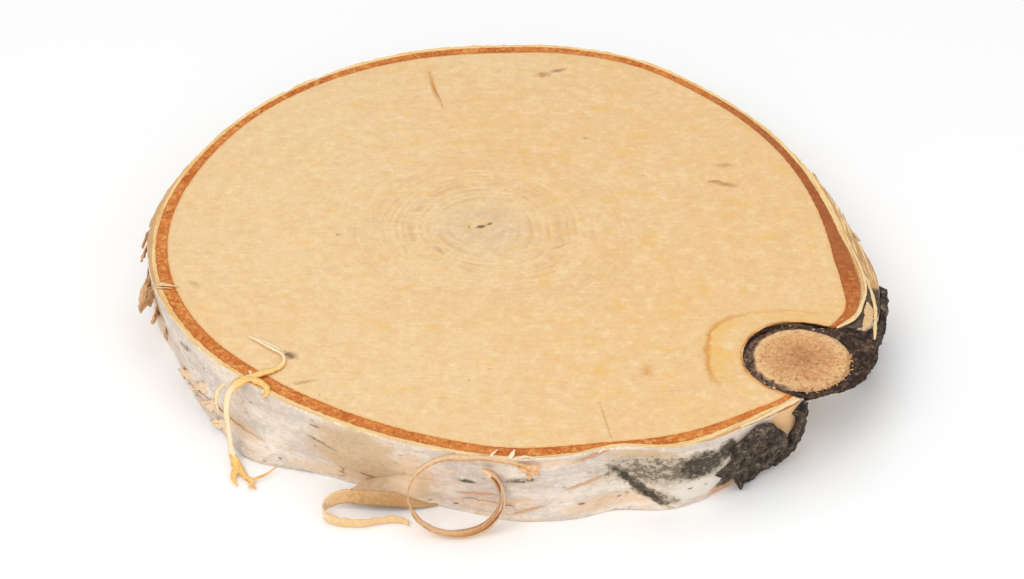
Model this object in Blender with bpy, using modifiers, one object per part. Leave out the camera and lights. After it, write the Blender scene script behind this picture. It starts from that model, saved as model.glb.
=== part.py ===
"""A slice sawn across a birch stem, lying flat, with the stub of a dead branch at its edge.

Metres, +Z up. The origin is the middle of the bottom cut face. +X is the side with the branch
stub, -Y the front, where the bark curls hang. Angles are degrees about the origin, 0 at +X.
"""

import bisect
import math

import bmesh
import bpy
from mathutils import Vector, noise

MM = 0.001
TURN = 2 * math.pi

THICKNESS = 27 * MM
GAP = 0.3 * MM
SEGMENTS = 160
WOOD_BANDS = 1
BARK_BANDS = 6

# Around the slice, as (degrees, millimetres): the edge of the wood on the top face,
# the two bark layers outside it, and how far the foot of the wall stands out past its top.
WOOD_RADIUS = [
    (0, 115), (12, 113.5), (30, 114), (50, 116.5), (66, 120.8), (80, 121), (92, 119.5),
    (112, 121), (138, 122.3), (158, 122), (178, 123), (192, 122.3), (208, 119.5),
    (226, 115), (242, 113.5), (257, 115), (270, 118), (284, 119.3), (297, 124.5),
    (309, 127.9), (315.5, 130.2), (324, 126), (332, 123.5), (338.5, 125.7),
    (345, 121.5), (352, 117.3),
]
INNER_BARK = [
    (0, 4.5), (20, 3.2), (60, 3.5), (100, 4.4), (140, 3.2), (180, 4.4), (205, 5), (240, 5),
    (264, 4.3), (280, 3.8), (287, 1.2), (295, 4.4), (309, 2.6), (318, 2.2), (331, 1.6),
    (339, 4.2), (345, 7.2), (353, 6.6),
]
OUTER_BARK = [
    (0, 4.6), (10, 3.8), (19, 2.2), (30, 1.4), (60, 1.2), (100, 1.3), (140, 1.2), (162, 1.5),
    (177, 2.8), (190, 2.3), (205, 1.7), (255, 1.7), (270, 1.3), (290, 2), (302, 3), (314, 3.4),
    (324, 2.4), (331, 4), (337, 8), (343, 6.2), (350, 6.4),
]
FOOT = [
    (0, -1.6), (30, 0), (60, 1), (90, 0.5), (120, -0.5), (150, 0.5), (175, 1), (190, -1),
    (199, -3.4), (212, 0.5), (224, 3), (232, 1.5), (242, -2), (262, -2), (272, 0.6),
    (290, 0.8), (302, -2), (314, -4.6), (322, -3), (329, -7), (333, -5.5), (338, -4), (347, -2),
]

# Low swells that run round the bark, none of them under the crust (middle and spread, in degrees)
SWELL = 0.2 * MM
SWELL_HEIGHT = 9 * MM
CRUST_BEDS = [(312, 14), (340, 16)]

# The loose layer near the foot of the wall at the front left, which stands off the wood below it
FLAP_ANGLE = 227
FLAP_SPREAD = 6
FLAP_FROM = 2 * MM
FLAP_TOP = 13 * MM
FLAP_LIFT = 4 * MM

# The seasoning crack that runs in from the back edge, as (x, y) of its outer and inner end
CRACK_ENDS = (Vector((-31.2, 105.2, 0)) * MM, Vector((-25.5, 80.2, 0)) * MM)
CRACK_WIDTH = 0.9 * MM
CRACK_WIDTH_INSIDE = 0.3 * MM
CRACK_DEPTH = 3 * MM

# The branch grew up and outwards, so its round section drifts towards the pith going down.
STUB_CENTRE = Vector((99, -72.5, 0)) * MM
STUB_RADIUS_TOP = 17.2 * MM
STUB_RADIUS_FOOT = 14 * MM
STUB_LEAN = 1.2
STUB_SEGMENTS = 56
STUB_BANDS = 6
STUB_OUTWARD = math.radians(-30)
BAY_CLEARANCE = 0.45 * MM
SUNK_BARK = 2.6 * MM

# Bark round the stub, as (degrees about the stub, millimetres from its middle)
BRANCH_BARK = [
    (0, 25), (14, 27), (28, 27.5), (46, 23), (62, 20.6), (110, 20.2), (200, 20.2), (250, 20),
    (266, 20.8), (277, 21.4), (290, 20.6), (318, 22.6), (335, 23.4), (350, 23.4),
]
BURIED_BARK = 2.9 * MM
BULGE_FROM = 8 * MM
BULGE_TO = 19 * MM
BULGE_ROUGHNESS = 0.7 * MM
BULGE_GRAIN = 6 * MM

# Crust plates: the outline of each as (degrees, millimetres above the floor)
FRONT_CRUST = [
    (301, 10.5), (303.6, 13), (303.4, 20), (305.4, 22.6), (307.6, 26.7), (309.4, 26.2),
    (312, 18.5), (314.6, 10), (315.2, 17), (314, 24), (315, 26.7), (316.2, 26.6),
    (317.4, 20), (318.4, 12), (317.6, 4.4), (313.6, 1.6), (310.2, 2.4), (308.2, 1),
    (305.2, 1.3), (304.4, 6.4),
]
SIDE_CRUST = [
    (334.6, 8), (335.2, 3), (338, 1.8), (342, 3.4), (346, 2.2), (350.4, 6), (352.6, 13),
    (351, 19.6), (347.6, 22.4), (345.6, 26.6), (341, 26.4), (338.8, 23.6), (336.2, 25.4),
    (335.4, 21.6), (335, 15),
]
CRUST_THICKNESS = 3 * MM
CRUST_ROUGHNESS = 1.5 * MM
CRUST_GRAIN = 7 * MM
CRUST_RIDGE = Vector((1.6, 20 * MM))
CRUST_CELL = 2.3 * MM
CRUST_PAST = 1 * MM
TRIM_FROM = 110 * MM
TRIM_TO = 155 * MM

# Loose tongues of bark that peel round the wall from a rooted edge: degrees at the root,
# height of the middle, how tall, how long (negative runs clockwise), lift at the tip and drop
TONGUES = [
    (172, 23, 6, 9, 3.4, 3), (179, 22.4, 7, 9, 4.2, 5), (190.4, 20.6, 9, 8, 7.6, 4),
    (192, 13, 8, 11, 4.8, 4), (199, 6.6, 8, 12, 4.4, 2), (206.6, 5.4, 7, 12, 4.4, 1),
    (221, 5, 7, -10, 4, 1), (160, 22, 6, -10, 2.6, 2), (138, 24, 5, 11, 3, 1),
    (104, 24.6, 4, 14, 2.2, 0), (84, 24, 4, -9, 2.6, 1), (61, 22.6, 6, 10, 3, 2),
    (38, 24.4, 4, -12, 2.6, 1), (20, 18, 9, -12, 3.2, 2), (6, 22.6, 6, -8, 3.4, 1),
]
TONGUE_THICKNESS = 0.9 * MM
TONGUE_ROOT = 1.3 * MM

CURL_THICKNESS = 0.7 * MM

# The hoop: a strip that tore off along the front rim and sprang into a ring down to the floor.
# It turns from one angle to the other, and its ring narrows inwards by a share of its size a turn.
HOOP_MIDDLE = Vector((-17, -127.6, 13.7)) * MM
HOOP_HALF_WIDTH = 15.6 * MM
HOOP_UP = Vector((0, 3.6, 12.8)) * MM
HOOP_TAIL = [(9.5, -126.6, 21), (5, -126, 24.2), (-1.5, -125.6, 26), (-7, -125, 26.8)]
HOOP_FROM = 78
HOOP_TO = 408
HOOP_INWARD = 0.12
HOOP_STRIP = 3.2 * MM
HOOP_STEPS = 16

# The loop: a strip that leaves the foot of the wall, turns at the left and comes back to the front
LOOP_PATH = [
    (-23, -118.5), (-31, -118.6), (-40, -119.8), (-49, -118.8), (-56, -118.2), (-60.6, -120.2),
    (-60.2, -124), (-55, -127), (-48, -127.4), (-42, -125.8), (-36, -125.2), (-32.6, -126.6),
]
LOOP_HEIGHT_ROOT = 6.2 * MM
LOOP_HEIGHT_TIP = 3 * MM
LOOP_OFF_FLOOR = 0.4 * MM

# The strand: from the top face over the rim, down the wall and out over the floor
STRAND_PATH = [
    (-89, -61.5, 27.7), (-82, -67, 27.7), (-76, -72.6, 27.8), (-77, -78.4, 27.8),
    (-83, -82, 27.9), (-88.6, -85.6, 28.1), (-92.4, -89.6, 27.2), (-93.8, -92, 22),
    (-93.6, -92.8, 14), (-93.4, -93.4, 7), (-92.6, -95.6, 2.4), (-89.4, -101.4, 1),
    (-84, -109.6, 0.9),
]
STRAND_ON_WALL = Vector((1, -0.9, 0))
STRAND_WIDTH = 3 * MM
STRAND_TIP_WIDTH = 1.4 * MM

WOOD_COLOUR = (0.85, 0.61, 0.33)
INNER_BARK_COLOUR = (0.62, 0.22, 0.06)
PAPER_COLOUR = (0.74, 0.6, 0.48)
CRUST_COLOUR = (0.09, 0.06, 0.04)
STUB_COLOUR = (0.62, 0.33, 0.14)
BRANCH_BARK_COLOUR = (0.12, 0.07, 0.045)
CURL_COLOUR = (0.78, 0.52, 0.29)
STRAND_COLOUR = (0.85, 0.55, 0.2)


def start_scene():
    for obj in list(bpy.data.objects):
        bpy.data.objects.remove(obj)
    parts = bpy.data.collections.new("birch_wood_slice")
    cutters = bpy.data.collections.new("cutters")
    bpy.context.scene.collection.children.link(parts)
    bpy.context.scene.collection.children.link(cutters)
    return parts, cutters


def finish_of(name, colour, roughness):
    material = bpy.data.materials.new(name)
    material.use_nodes = True
    shader = material.node_tree.nodes["Principled BSDF"]
    shader.inputs["Base Color"].default_value = (*colour, 1)
    shader.inputs["Roughness"].default_value = roughness
    shader.inputs["Metallic"].default_value = 0
    material.diffuse_color = (*colour, 1)
    return material


def object_from(name, bm, collection, material=None):
    bmesh.ops.recalc_face_normals(bm, faces=bm.faces)
    if bm.calc_volume(signed=True) < 0:
        bmesh.ops.reverse_faces(bm, faces=bm.faces)
    mesh = bpy.data.meshes.new(name)
    bm.to_mesh(mesh)
    bm.free()
    obj = bpy.data.objects.new(name, mesh)
    collection.objects.link(obj)
    if material:
        mesh.materials.append(material)
        mesh.shade_smooth()
        mesh.set_sharp_from_angle(angle=math.radians(35))
    else:
        obj.hide_render = True
        obj.display_type = "WIRE"
    return obj


def settle(obj):
    """Replaces an object's mesh by what its modifiers make of it."""
    graph = bpy.context.evaluated_depsgraph_get()
    made = bpy.data.meshes.new_from_object(obj.evaluated_get(graph))
    obj.modifiers.clear()
    obj.data = made


def shape_with(obj, operation, other, solver="EXACT"):
    boolean = obj.modifiers.new(f"{operation.title()} {other.name}", "BOOLEAN")
    boolean.operation = operation
    boolean.solver = solver
    boolean.object = other


def around(points):
    """A smooth closed curve through (degrees, millimetres) points, as a function of an angle."""
    turns = [math.radians(degrees) for degrees, _ in points]
    values = [value * MM for _, value in points]
    count = len(points)

    def slope(i):
        before, after = (i - 1) % count, (i + 1) % count
        return (values[after] - values[before]) / ((turns[after] - turns[before]) % TURN)

    def value(angle):
        i = (bisect.bisect_right(turns, angle % TURN) - 1) % count
        j = (i + 1) % count
        span = (turns[j] - turns[i]) % TURN
        t = ((angle - turns[i]) % TURN) / span
        start = (2 * t**3 - 3 * t**2 + 1) * values[i] + (t**3 - 2 * t**2 + t) * span * slope(i)
        end = (3 * t**2 - 2 * t**3) * values[j] + (t**3 - t**2) * span * slope(j)
        return start + end

    return value


def smooth_path(points):
    """A smooth open curve through points, as a function of 0 to 1."""
    spots = [Vector(point) * MM for point in points]
    spots = [2 * spots[0] - spots[1], *spots, 2 * spots[-1] - spots[-2]]
    pieces = len(spots) - 3

    def at(t):
        i = min(int(t * pieces), pieces - 1)
        s = t * pieces - i
        a, b, c, d = spots[i : i + 4]
        bend = (2 * a - 5 * b + 4 * c - d) * s**2 + (3 * b - a - 3 * c + d) * s**3
        return b + 0.5 * ((c - a) * s + bend)

    return at


def ease(value, low, high):
    t = min(max((value - low) / (high - low), 0), 1)
    return t * t * (3 - 2 * t)


def bump(degrees, middle, spread):
    away = (degrees - middle + 180) % 360 - 180
    return math.exp(-((away / spread) ** 2))


wood_radius = around(WOOD_RADIUS)
inner_bark = around(INNER_BARK)
outer_bark = around(OUTER_BARK)
foot = around(FOOT)
branch_bark_radius = around(BRANCH_BARK)


def slant(angle, height):
    return foot(angle) * (1 - height / THICKNESS)


def wood_face(angle, height):
    return wood_radius(angle) + slant(angle, height)


def inner_bark_face(angle, height):
    return wood_face(angle, height) + inner_bark(angle)


def bark_face(angle, height):
    """The outside of the white bark, with its low swells and the loose layer at its foot."""
    degrees = math.degrees(angle) % 360
    spot = Vector((3 * math.cos(angle), 3 * math.sin(angle), height / SWELL_HEIGHT))
    calm = 1 - max(bump(degrees, middle, spread) for middle, spread in CRUST_BEDS)
    lift = bump(degrees, FLAP_ANGLE, FLAP_SPREAD) * (1 - ease(height, FLAP_FROM, FLAP_TOP))
    face = inner_bark_face(angle, height) + outer_bark(angle)
    return face + SWELL * noise.noise(spot) * calm + FLAP_LIFT * lift


def cylinder(segments, bands):
    """A cylinder of radius 1 from z = 0 to 1, its side in bands of rising triangles."""
    bm = bmesh.new()
    bmesh.ops.create_cone(
        bm, cap_ends=True, segments=segments, radius1=1, radius2=1, depth=1
    )
    if bands > 1:
        upright = [edge for edge in bm.edges if abs(edge.verts[0].co.z - edge.verts[1].co.z) > 0.5]
        bmesh.ops.subdivide_edges(bm, edges=upright, cuts=bands - 1)
    for quad in [face for face in bm.faces if len(face.verts) == 4]:
        middle = quad.calc_center_median()

        def corner(vertex):
            return vertex.co.z > middle.z, middle.xy.angle_signed(vertex.co.xy) < 0

        bmesh.utils.face_split(quad, min(quad.verts, key=corner), max(quad.verts, key=corner))
    bmesh.ops.translate(bm, verts=bm.verts, vec=(0, 0, 0.5))
    return bm


def disc(name, face, collection, material=None, bands=WOOD_BANDS, past=0):
    """A cylinder whose side follows face(angle, height), with bands past each cut face."""
    bm = cylinder(SEGMENTS, bands + 2 * past)
    for vertex in bm.verts:
        angle = math.atan2(vertex.co.y, vertex.co.x)
        height = THICKNESS * (vertex.co.z * (bands + 2 * past) - past) / bands
        radius = face(angle, height)
        vertex.co = (radius * math.cos(angle), radius * math.sin(angle), height)
    return object_from(name, bm, collection, material)


def wall_cutter(name, face, clearance, cutters, bands=WOOD_BANDS):
    def cut_face(angle, height):
        return face(angle, height) + clearance

    return disc(name, cut_face, cutters, None, bands, 1)


def stub_middle(height):
    outward = STUB_CENTRE.normalized()
    middle = STUB_CENTRE + outward * STUB_LEAN * (height - THICKNESS)
    return Vector((middle.x, middle.y, height))


def stub_face(angle, height):
    return STUB_RADIUS_FOOT + (STUB_RADIUS_TOP - STUB_RADIUS_FOOT) * height / THICKNESS


def branch_bark_face(angle, height):
    """Thin where the stem grew round the branch, thick and rough where it shows outside."""
    thin = stub_face(angle, height) + BURIED_BARK
    shown = ease(height, BULGE_FROM, BULGE_TO)
    spot = Vector((6 * math.cos(angle), 6 * math.sin(angle), height / BULGE_GRAIN))
    rough = BULGE_ROUGHNESS * noise.noise(spot) * (0.5 + 0.5 * math.cos(angle - STUB_OUTWARD))
    thick = branch_bark_radius(angle) - stub_face(angle, THICKNESS) - BURIED_BARK
    return thin + (thick + rough) * shown


def post(name, face, collection, material=None, past=0, sink=0):
    """A leaning post along the branch, its side following face(angle about it, height).

    Its top is sunk on the side that the stem grew round.
    """
    bm = cylinder(STUB_SEGMENTS, STUB_BANDS + 2 * past)
    for vertex in bm.verts:
        angle = math.atan2(vertex.co.y, vertex.co.x)
        inside = 1 - ease(math.cos(angle - STUB_OUTWARD), -0.15, 0.35)
        drop = sink * inside * ease(vertex.co.z, 0.9, 1)
        height = THICKNESS * (vertex.co.z * (STUB_BANDS + 2 * past) - past) / STUB_BANDS - drop
        radius = face(angle, height)
        vertex.co = stub_middle(height) + Vector((math.cos(angle), math.sin(angle), 0)) * radius
    return object_from(name, bm, collection, material)


def sheet(name, place, along, across, thickness, collection, material=None):
    """A thin strip: a grid laid out by place(along, across), both 0 to 1, given a thickness."""
    bm = bmesh.new()
    bmesh.ops.create_grid(bm, x_segments=along, y_segments=across, size=0.5)
    for vertex in bm.verts:
        vertex.co = place(vertex.co.x + 0.5, vertex.co.y + 0.5)
    obj = object_from(name, bm, collection, material)
    solid = obj.modifiers.new("Thickness", "SOLIDIFY")
    solid.thickness = thickness
    solid.offset = 0
    return obj


def outline_cutter(name, outline, cutters):
    """A closed block whose sides run out from the slice's axis through an outline on its wall."""
    curve = bpy.data.curves.new(name, "CURVE")
    curve.dimensions = "2D"
    curve.fill_mode = "BOTH"
    curve.extrude = 0.5
    spline = curve.splines.new("POLY")
    spline.points.add(len(outline) - 1)
    for point, (degrees, height) in zip(spline.points, outline):
        point.co = (degrees, height, 0, 1)
    spline.use_cyclic_u = True
    guide = bpy.data.objects.new(f"{name}_outline", curve)
    cutters.objects.link(guide)
    graph = bpy.context.evaluated_depsgraph_get()
    mesh = bpy.data.meshes.new_from_object(guide.evaluated_get(graph))
    bpy.data.objects.remove(guide)
    bm = bmesh.new()
    bm.from_mesh(mesh)
    bmesh.ops.remove_doubles(bm, verts=bm.verts, dist=0.001)
    for vertex in bm.verts:
        angle = math.radians(vertex.co.x)
        radius = TRIM_FROM if vertex.co.z < 0 else TRIM_TO
        vertex.co = (radius * math.cos(angle), radius * math.sin(angle), vertex.co.y * MM)
    return object_from(name, bm, cutters)


def crust(name, outline, bark_cutter, parts, cutters, material):
    """A rough black plate: a lumpy slab, trimmed to its outline and hollowed to fit the bark."""
    first = min(degrees for degrees, _ in outline) - 1
    last = max(degrees for degrees, _ in outline) + 1
    arc = math.radians(last - first) * bark_face(math.radians(first), THICKNESS)
    tall = THICKNESS + 2 * CRUST_PAST
    columns = round(arc / CRUST_CELL)
    rows = round(tall / CRUST_CELL)

    def layer(angle, height, out):
        radius = bark_face(angle, height) + out
        return Vector((radius * math.cos(angle), radius * math.sin(angle), height))

    def place(u, v):
        angle = math.radians(first + u * (last - first))
        height = v * tall - CRUST_PAST
        lumps = noise.noise(layer(angle, height, 0) / CRUST_GRAIN)
        ridge = Vector((math.degrees(angle) / CRUST_RIDGE.x, height / CRUST_RIDGE.y, 3))
        rise = CRUST_THICKNESS + CRUST_ROUGHNESS * (lumps + 0.6 * noise.noise(ridge))
        return layer(angle, height, rise * (0.5 + 0.5 * min(1, 4 * u, 4 * (1 - u))))

    bm = bmesh.new()
    bmesh.ops.create_grid(bm, x_segments=columns, y_segments=rows, size=0.5)
    spots = [(vertex.co.x + 0.5, vertex.co.y + 0.5) for vertex in bm.verts]
    raised = bmesh.ops.extrude_face_region(bm, geom=bm.faces[:], use_keep_orig=True)
    for vertex, (u, v) in zip(bm.verts, spots):
        angle = math.radians(first + u * (last - first))
        vertex.co = layer(angle, v * tall - CRUST_PAST, -CRUST_PAST)
    for item in raised["geom"]:
        if isinstance(item, bmesh.types.BMVert):
            item.co = place(item.co.x + 0.5, item.co.y + 0.5)
    plate = object_from(name, bm, parts, material)
    shape_with(plate, "INTERSECT", outline_cutter(f"{name}_trim", outline, cutters))
    shape_with(plate, "DIFFERENCE", bark_cutter)


def tongue(number, spot, collection):
    """A loose tongue: it narrows, drops and lifts off the wall from its root to its tip."""
    degrees, middle, tall, long, lift, drop = spot

    def place(u, v):
        height = (middle + tall * (v - 0.5) * (1 - 0.7 * u**2) - drop * u**2) * MM
        angle = math.radians(degrees) + long * MM * u / bark_face(math.radians(degrees), height)
        radius = bark_face(angle, height) - TONGUE_ROOT * (1 - u) + lift * MM * u**1.4
        return Vector((radius * math.cos(angle), radius * math.sin(angle), height))

    return sheet(f"tongue_{number}", place, 5, 2, TONGUE_THICKNESS, collection)


def add_tongues(bark, cutters):
    """Fuses the loose tongues to the white bark."""
    loose = bpy.data.collections.new("tongues")
    cutters.children.link(loose)
    for number, spot in enumerate(TONGUES):
        tongue(number, spot, loose)
    union = bark.modifiers.new("Tongues", "BOOLEAN")
    union.operation = "UNION"
    union.operand_type = "COLLECTION"
    union.collection = loose
    union.solver = "MANIFOLD"
    settle(bark)
    for obj in list(loose.objects):
        bpy.data.objects.remove(obj)
    bpy.data.collections.remove(loose)


def make_wood(bay, parts, cutters):
    wood = disc("wood", wood_face, parts, finish_of("sawn birch", WOOD_COLOUR, 0.6))
    outer, inner = CRACK_ENDS
    run = outer - inner
    across = Vector((-run.y, run.x, 0)).normalized()

    bm = bmesh.new()
    bmesh.ops.create_cube(bm, size=1)
    for vertex in bm.verts:
        wide = CRACK_WIDTH if vertex.co.x > 0 else CRACK_WIDTH_INSIDE
        height = THICKNESS + 2 * MM if vertex.co.z > 0 else THICKNESS - CRACK_DEPTH
        vertex.co = inner + run * (vertex.co.x + 0.5) + across * wide * vertex.co.y + Vector((0, 0, height))
    shape_with(wood, "DIFFERENCE", object_from("crack", bm, cutters))
    shape_with(wood, "DIFFERENCE", bay)


def make_inner_bark(bay, parts, cutters):
    finish = finish_of("orange inner bark", INNER_BARK_COLOUR, 0.7)
    ring = disc("inner_bark", inner_bark_face, parts, finish)
    core = wall_cutter("wood_core", wood_face, GAP, cutters)
    shape_with(ring, "DIFFERENCE", core, "MANIFOLD")
    shape_with(ring, "DIFFERENCE", bay, "MANIFOLD")


def make_outer_bark(bay, parts, cutters):
    finish = finish_of("white paper bark", PAPER_COLOUR, 0.65)
    ring = disc("outer_bark", bark_face, parts, finish, BARK_BANDS)
    add_tongues(ring, cutters)
    core = wall_cutter("inner_bark_core", inner_bark_face, GAP, cutters)
    shape_with(ring, "DIFFERENCE", core, "MANIFOLD")
    shape_with(ring, "DIFFERENCE", bay, "MANIFOLD")


def make_stub(parts, cutters):
    post("branch_stub", stub_face, parts, finish_of("branch wood", STUB_COLOUR, 0.7))

    def core_face(angle, height):
        return stub_face(angle, height) + BAY_CLEARANCE

    finish = finish_of("branch bark", BRANCH_BARK_COLOUR, 0.85)
    bark = post("branch_bark", branch_bark_face, parts, finish, sink=SUNK_BARK)
    shape_with(bark, "DIFFERENCE", post("stub_core", core_face, cutters, past=1))


def make_bay(cutters):
    """The hollow in the stem that the branch and its bark fill."""

    def bay_face(angle, height):
        return branch_bark_face(angle, height) + BAY_CLEARANCE

    return post("bay", bay_face, cutters, past=1)


def make_hoop(parts, material):
    ring = []
    for step in range(HOOP_STEPS + 1):
        degrees = HOOP_FROM + (HOOP_TO - HOOP_FROM) * step / HOOP_STEPS
        angle = math.radians(degrees)
        size = 1 - HOOP_INWARD * (degrees - HOOP_FROM) / 360
        spot = HOOP_MIDDLE + Vector((HOOP_HALF_WIDTH * math.cos(angle) * size, 0, 0))
        ring.append((spot + HOOP_UP * math.sin(angle) * size) / MM)
    path = smooth_path([*HOOP_TAIL, *ring])
    facing = HOOP_UP.cross(Vector((1, 0, 0))).normalized()

    def place(u, v):
        return path(u) + facing * HOOP_STRIP * (v - 0.5) * (0.55 + 0.45 * ease(u, 0, 0.15))

    sheet("curl_hoop", place, 72, 1, CURL_THICKNESS, parts, material)


def make_loop(parts, material):
    path = smooth_path([(x, y, 0) for x, y in LOOP_PATH])

    def place(u, v):
        tall = LOOP_HEIGHT_ROOT + (LOOP_HEIGHT_TIP - LOOP_HEIGHT_ROOT) * ease(u, 0.25, 0.8)
        return path(u) + Vector((0, 0, LOOP_OFF_FLOOR + tall * v))

    sheet("curl_loop", place, 44, 1, CURL_THICKNESS, parts, material)


def make_strand(parts, material):
    path = smooth_path(STRAND_PATH)

    def place(u, v):
        onward = path(min(u + 0.01, 1)) - path(max(u - 0.01, 0))
        across = Vector((onward.y, -onward.x, 0))
        if across.length < abs(onward.z):
            across = STRAND_ON_WALL
        narrow = STRAND_WIDTH - STRAND_TIP_WIDTH
        width = STRAND_TIP_WIDTH + narrow * min(1, 5 * u, 5 * (1 - u))
        return path(u) + across.normalized() * width * (v - 0.5)

    sheet("curl_strand", place, 56, 1, CURL_THICKNESS, parts, material)


def main():
    parts, cutters = start_scene()
    bay = make_bay(cutters)
    make_wood(bay, parts, cutters)
    make_inner_bark(bay, parts, cutters)
    make_outer_bark(bay, parts, cutters)
    make_stub(parts, cutters)
    crust_finish = finish_of("black crust", CRUST_COLOUR, 0.95)
    bark_cutter = wall_cutter("bark_core", bark_face, GAP, cutters, BARK_BANDS)
    crust("crust_front", FRONT_CRUST, bark_cutter, parts, cutters, crust_finish)
    crust("crust_side", SIDE_CRUST, bark_cutter, parts, cutters, crust_finish)
    curl_finish = finish_of("peach bark strip", CURL_COLOUR, 0.6)
    make_hoop(parts, curl_finish)
    make_loop(parts, curl_finish)
    make_strand(parts, finish_of("yellow bark strand", STRAND_COLOUR, 0.6))


main()
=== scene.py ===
import math

import bmesh
import bpy
import numpy as np
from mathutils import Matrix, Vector, noise


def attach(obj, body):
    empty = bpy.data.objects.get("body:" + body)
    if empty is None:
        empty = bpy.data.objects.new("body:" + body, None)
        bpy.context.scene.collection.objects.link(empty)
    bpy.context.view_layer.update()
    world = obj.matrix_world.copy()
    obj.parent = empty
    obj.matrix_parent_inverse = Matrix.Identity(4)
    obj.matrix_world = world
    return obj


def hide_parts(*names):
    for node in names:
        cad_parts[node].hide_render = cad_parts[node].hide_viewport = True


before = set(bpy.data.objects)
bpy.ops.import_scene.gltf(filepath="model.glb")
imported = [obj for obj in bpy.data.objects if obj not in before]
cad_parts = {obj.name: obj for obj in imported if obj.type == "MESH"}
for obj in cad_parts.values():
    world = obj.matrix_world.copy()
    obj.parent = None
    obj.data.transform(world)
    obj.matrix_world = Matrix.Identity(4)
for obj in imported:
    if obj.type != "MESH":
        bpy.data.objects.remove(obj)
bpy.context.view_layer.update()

mm = 0.001  # every size below is in millimetres, and meshes are made in metres


def ink(red, green, blue):  # a colour as a picture editor gives it, made linear for the shaders
    parts = [c / 255 for c in (red, green, blue)]
    return tuple(c / 12.92 if c <= 0.04045 else ((c + 0.055) / 1.055) ** 2.4 for c in parts) + (1,)


# the slice's outline: (degrees, millimetres) round the middle, +X is 0
stem = {
    "thickness": 27,
    "pith": (-10.0, 2.4),
    "wood": [
        (0, 115), (12, 113.5), (30, 114), (50, 116.5), (66, 120.8), (80, 121), (92, 119.5),
        (112, 121), (138, 122.3), (158, 122), (178, 123), (192, 122.3), (208, 119.5),
        (226, 115), (242, 113.5), (257, 115), (270, 118), (284, 119.3), (297, 124.5),
        (309, 127.9), (315.5, 130.2), (324, 126), (332, 123.5), (338.5, 125.7),
        (345, 121.5), (352, 117.3)],
    "innerBark": [
        (0, 4.5), (20, 3.2), (60, 3.5), (100, 4.4), (140, 3.2), (180, 4.4), (205, 5), (240, 5),
        (264, 4.3), (280, 3.8), (287, 1.2), (295, 4.4), (309, 2.6), (318, 2.2), (331, 1.6),
        (339, 4.2), (345, 7.2), (353, 6.6)],
    "outerBark": [
        (0, 4.6), (10, 3.8), (19, 2.2), (30, 1.4), (60, 1.2), (100, 1.3), (140, 1.2), (162, 1.5),
        (177, 2.8), (190, 2.3), (205, 1.7), (255, 1.7), (270, 1.3), (290, 2), (302, 3), (314, 3.4),
        (324, 2.4), (331, 4), (337, 8), (343, 6.2), (350, 6.4)],
    "foot": [
        (0, -1.6), (30, 0), (60, 1), (90, 0.5), (120, -0.5), (150, 0.5), (175, 1), (190, -1),
        (199, -3.4), (212, 0.5), (224, 3), (232, 1.5), (242, -2), (262, -2), (272, 0.6),
        (290, 0.8), (302, -2), (314, -4.6), (322, -3), (329, -7), (333, -5.5), (338, -4), (347, -2)],
    "flap": {"at": 227, "spread": 6, "from": 2, "to": 13, "lift": 4},
    "crustBeds": [(312, 14), (340, 16)],
}
top = stem["thickness"]

# the dead branch: it leans outwards going up, so its middle drifts with the height
branch = {
    "centre": (99, -72.5),
    "top": 17.2,
    "foot": 14,
    "lean": 1.2,
    "outward": -30,
    "clearance": 0.3,
    "buried": 2.9,
    "sunk": 2.6,
    "bulge": (8, 19),
    "bark": [
        (0, 25), (14, 27), (28, 27.5), (46, 22.6), (62, 19.9), (110, 19.3), (200, 19.3), (250, 19.4),
        (266, 20.8), (277, 21.4), (290, 20.6), (318, 22.6), (335, 23.4), (350, 23.4)],
}


def aroundCurve(points):  # a smooth closed curve through (degrees, millimetres) points
    turns, values = np.array(points, float).T
    spans = (np.roll(turns, -1) - turns) % 360
    reach = (np.roll(turns, -1) - np.roll(turns, 1)) % 360
    slopes = (np.roll(values, -1) - np.roll(values, 1)) / reach

    def valueAt(degrees):
        wrapped = np.asarray(degrees, float) % 360
        i = (np.searchsorted(turns, wrapped, side="right") - 1) % len(turns)
        j = (i + 1) % len(turns)
        t = ((wrapped - turns[i]) % 360) / spans[i]
        start = (2 * t**3 - 3 * t**2 + 1) * values[i] + (t**3 - 2 * t**2 + t) * spans[i] * slopes[i]
        return start + (3 * t**2 - 2 * t**3) * values[j] + (t**3 - t**2) * spans[i] * slopes[j]

    return valueAt


def smoothPath(points):  # a smooth open curve through points, from 0 to 1
    spots = [Vector(p) for p in points]
    spots = [2 * spots[0] - spots[1], *spots, 2 * spots[-1] - spots[-2]]
    pieces = len(spots) - 3

    def at(t):
        i = min(int(t * pieces), pieces - 1)
        s = t * pieces - i
        a, b, c, d = spots[i : i + 4]
        bend = (2 * a - 5 * b + 4 * c - d) * s**2 + (3 * b - a - 3 * c + d) * s**3
        return b + 0.5 * ((c - a) * s + bend)

    return at


def ease(value, low, high):
    t = np.clip((np.asarray(value, float) - low) / (high - low), 0, 1)
    return t * t * (3 - 2 * t)


def bump(degrees, middle, spread):
    return np.exp(-((((degrees - middle + 180) % 360 - 180) / spread) ** 2))


def noiseOf(x, y, z):  # Perlin noise, about -0.7 to 0.7, at many places
    x, y, z = np.broadcast_arrays(np.asarray(x, float), np.asarray(y, float), np.asarray(z, float))
    spots = zip(x.ravel().tolist(), y.ravel().tolist(), z.ravel().tolist())
    return np.array([noise.noise(spot) for spot in spots]).reshape(x.shape)


def ragged(u, seed, size=0.03):
    return noise.noise(Vector((u / size, seed, 0.5)))


woodRadius = aroundCurve(stem["wood"])
innerBarkWidth = aroundCurve(stem["innerBark"])
outerBarkWidth = aroundCurve(stem["outerBark"])
footOut = aroundCurve(stem["foot"])
branchBarkRadius = aroundCurve(branch["bark"])


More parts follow.
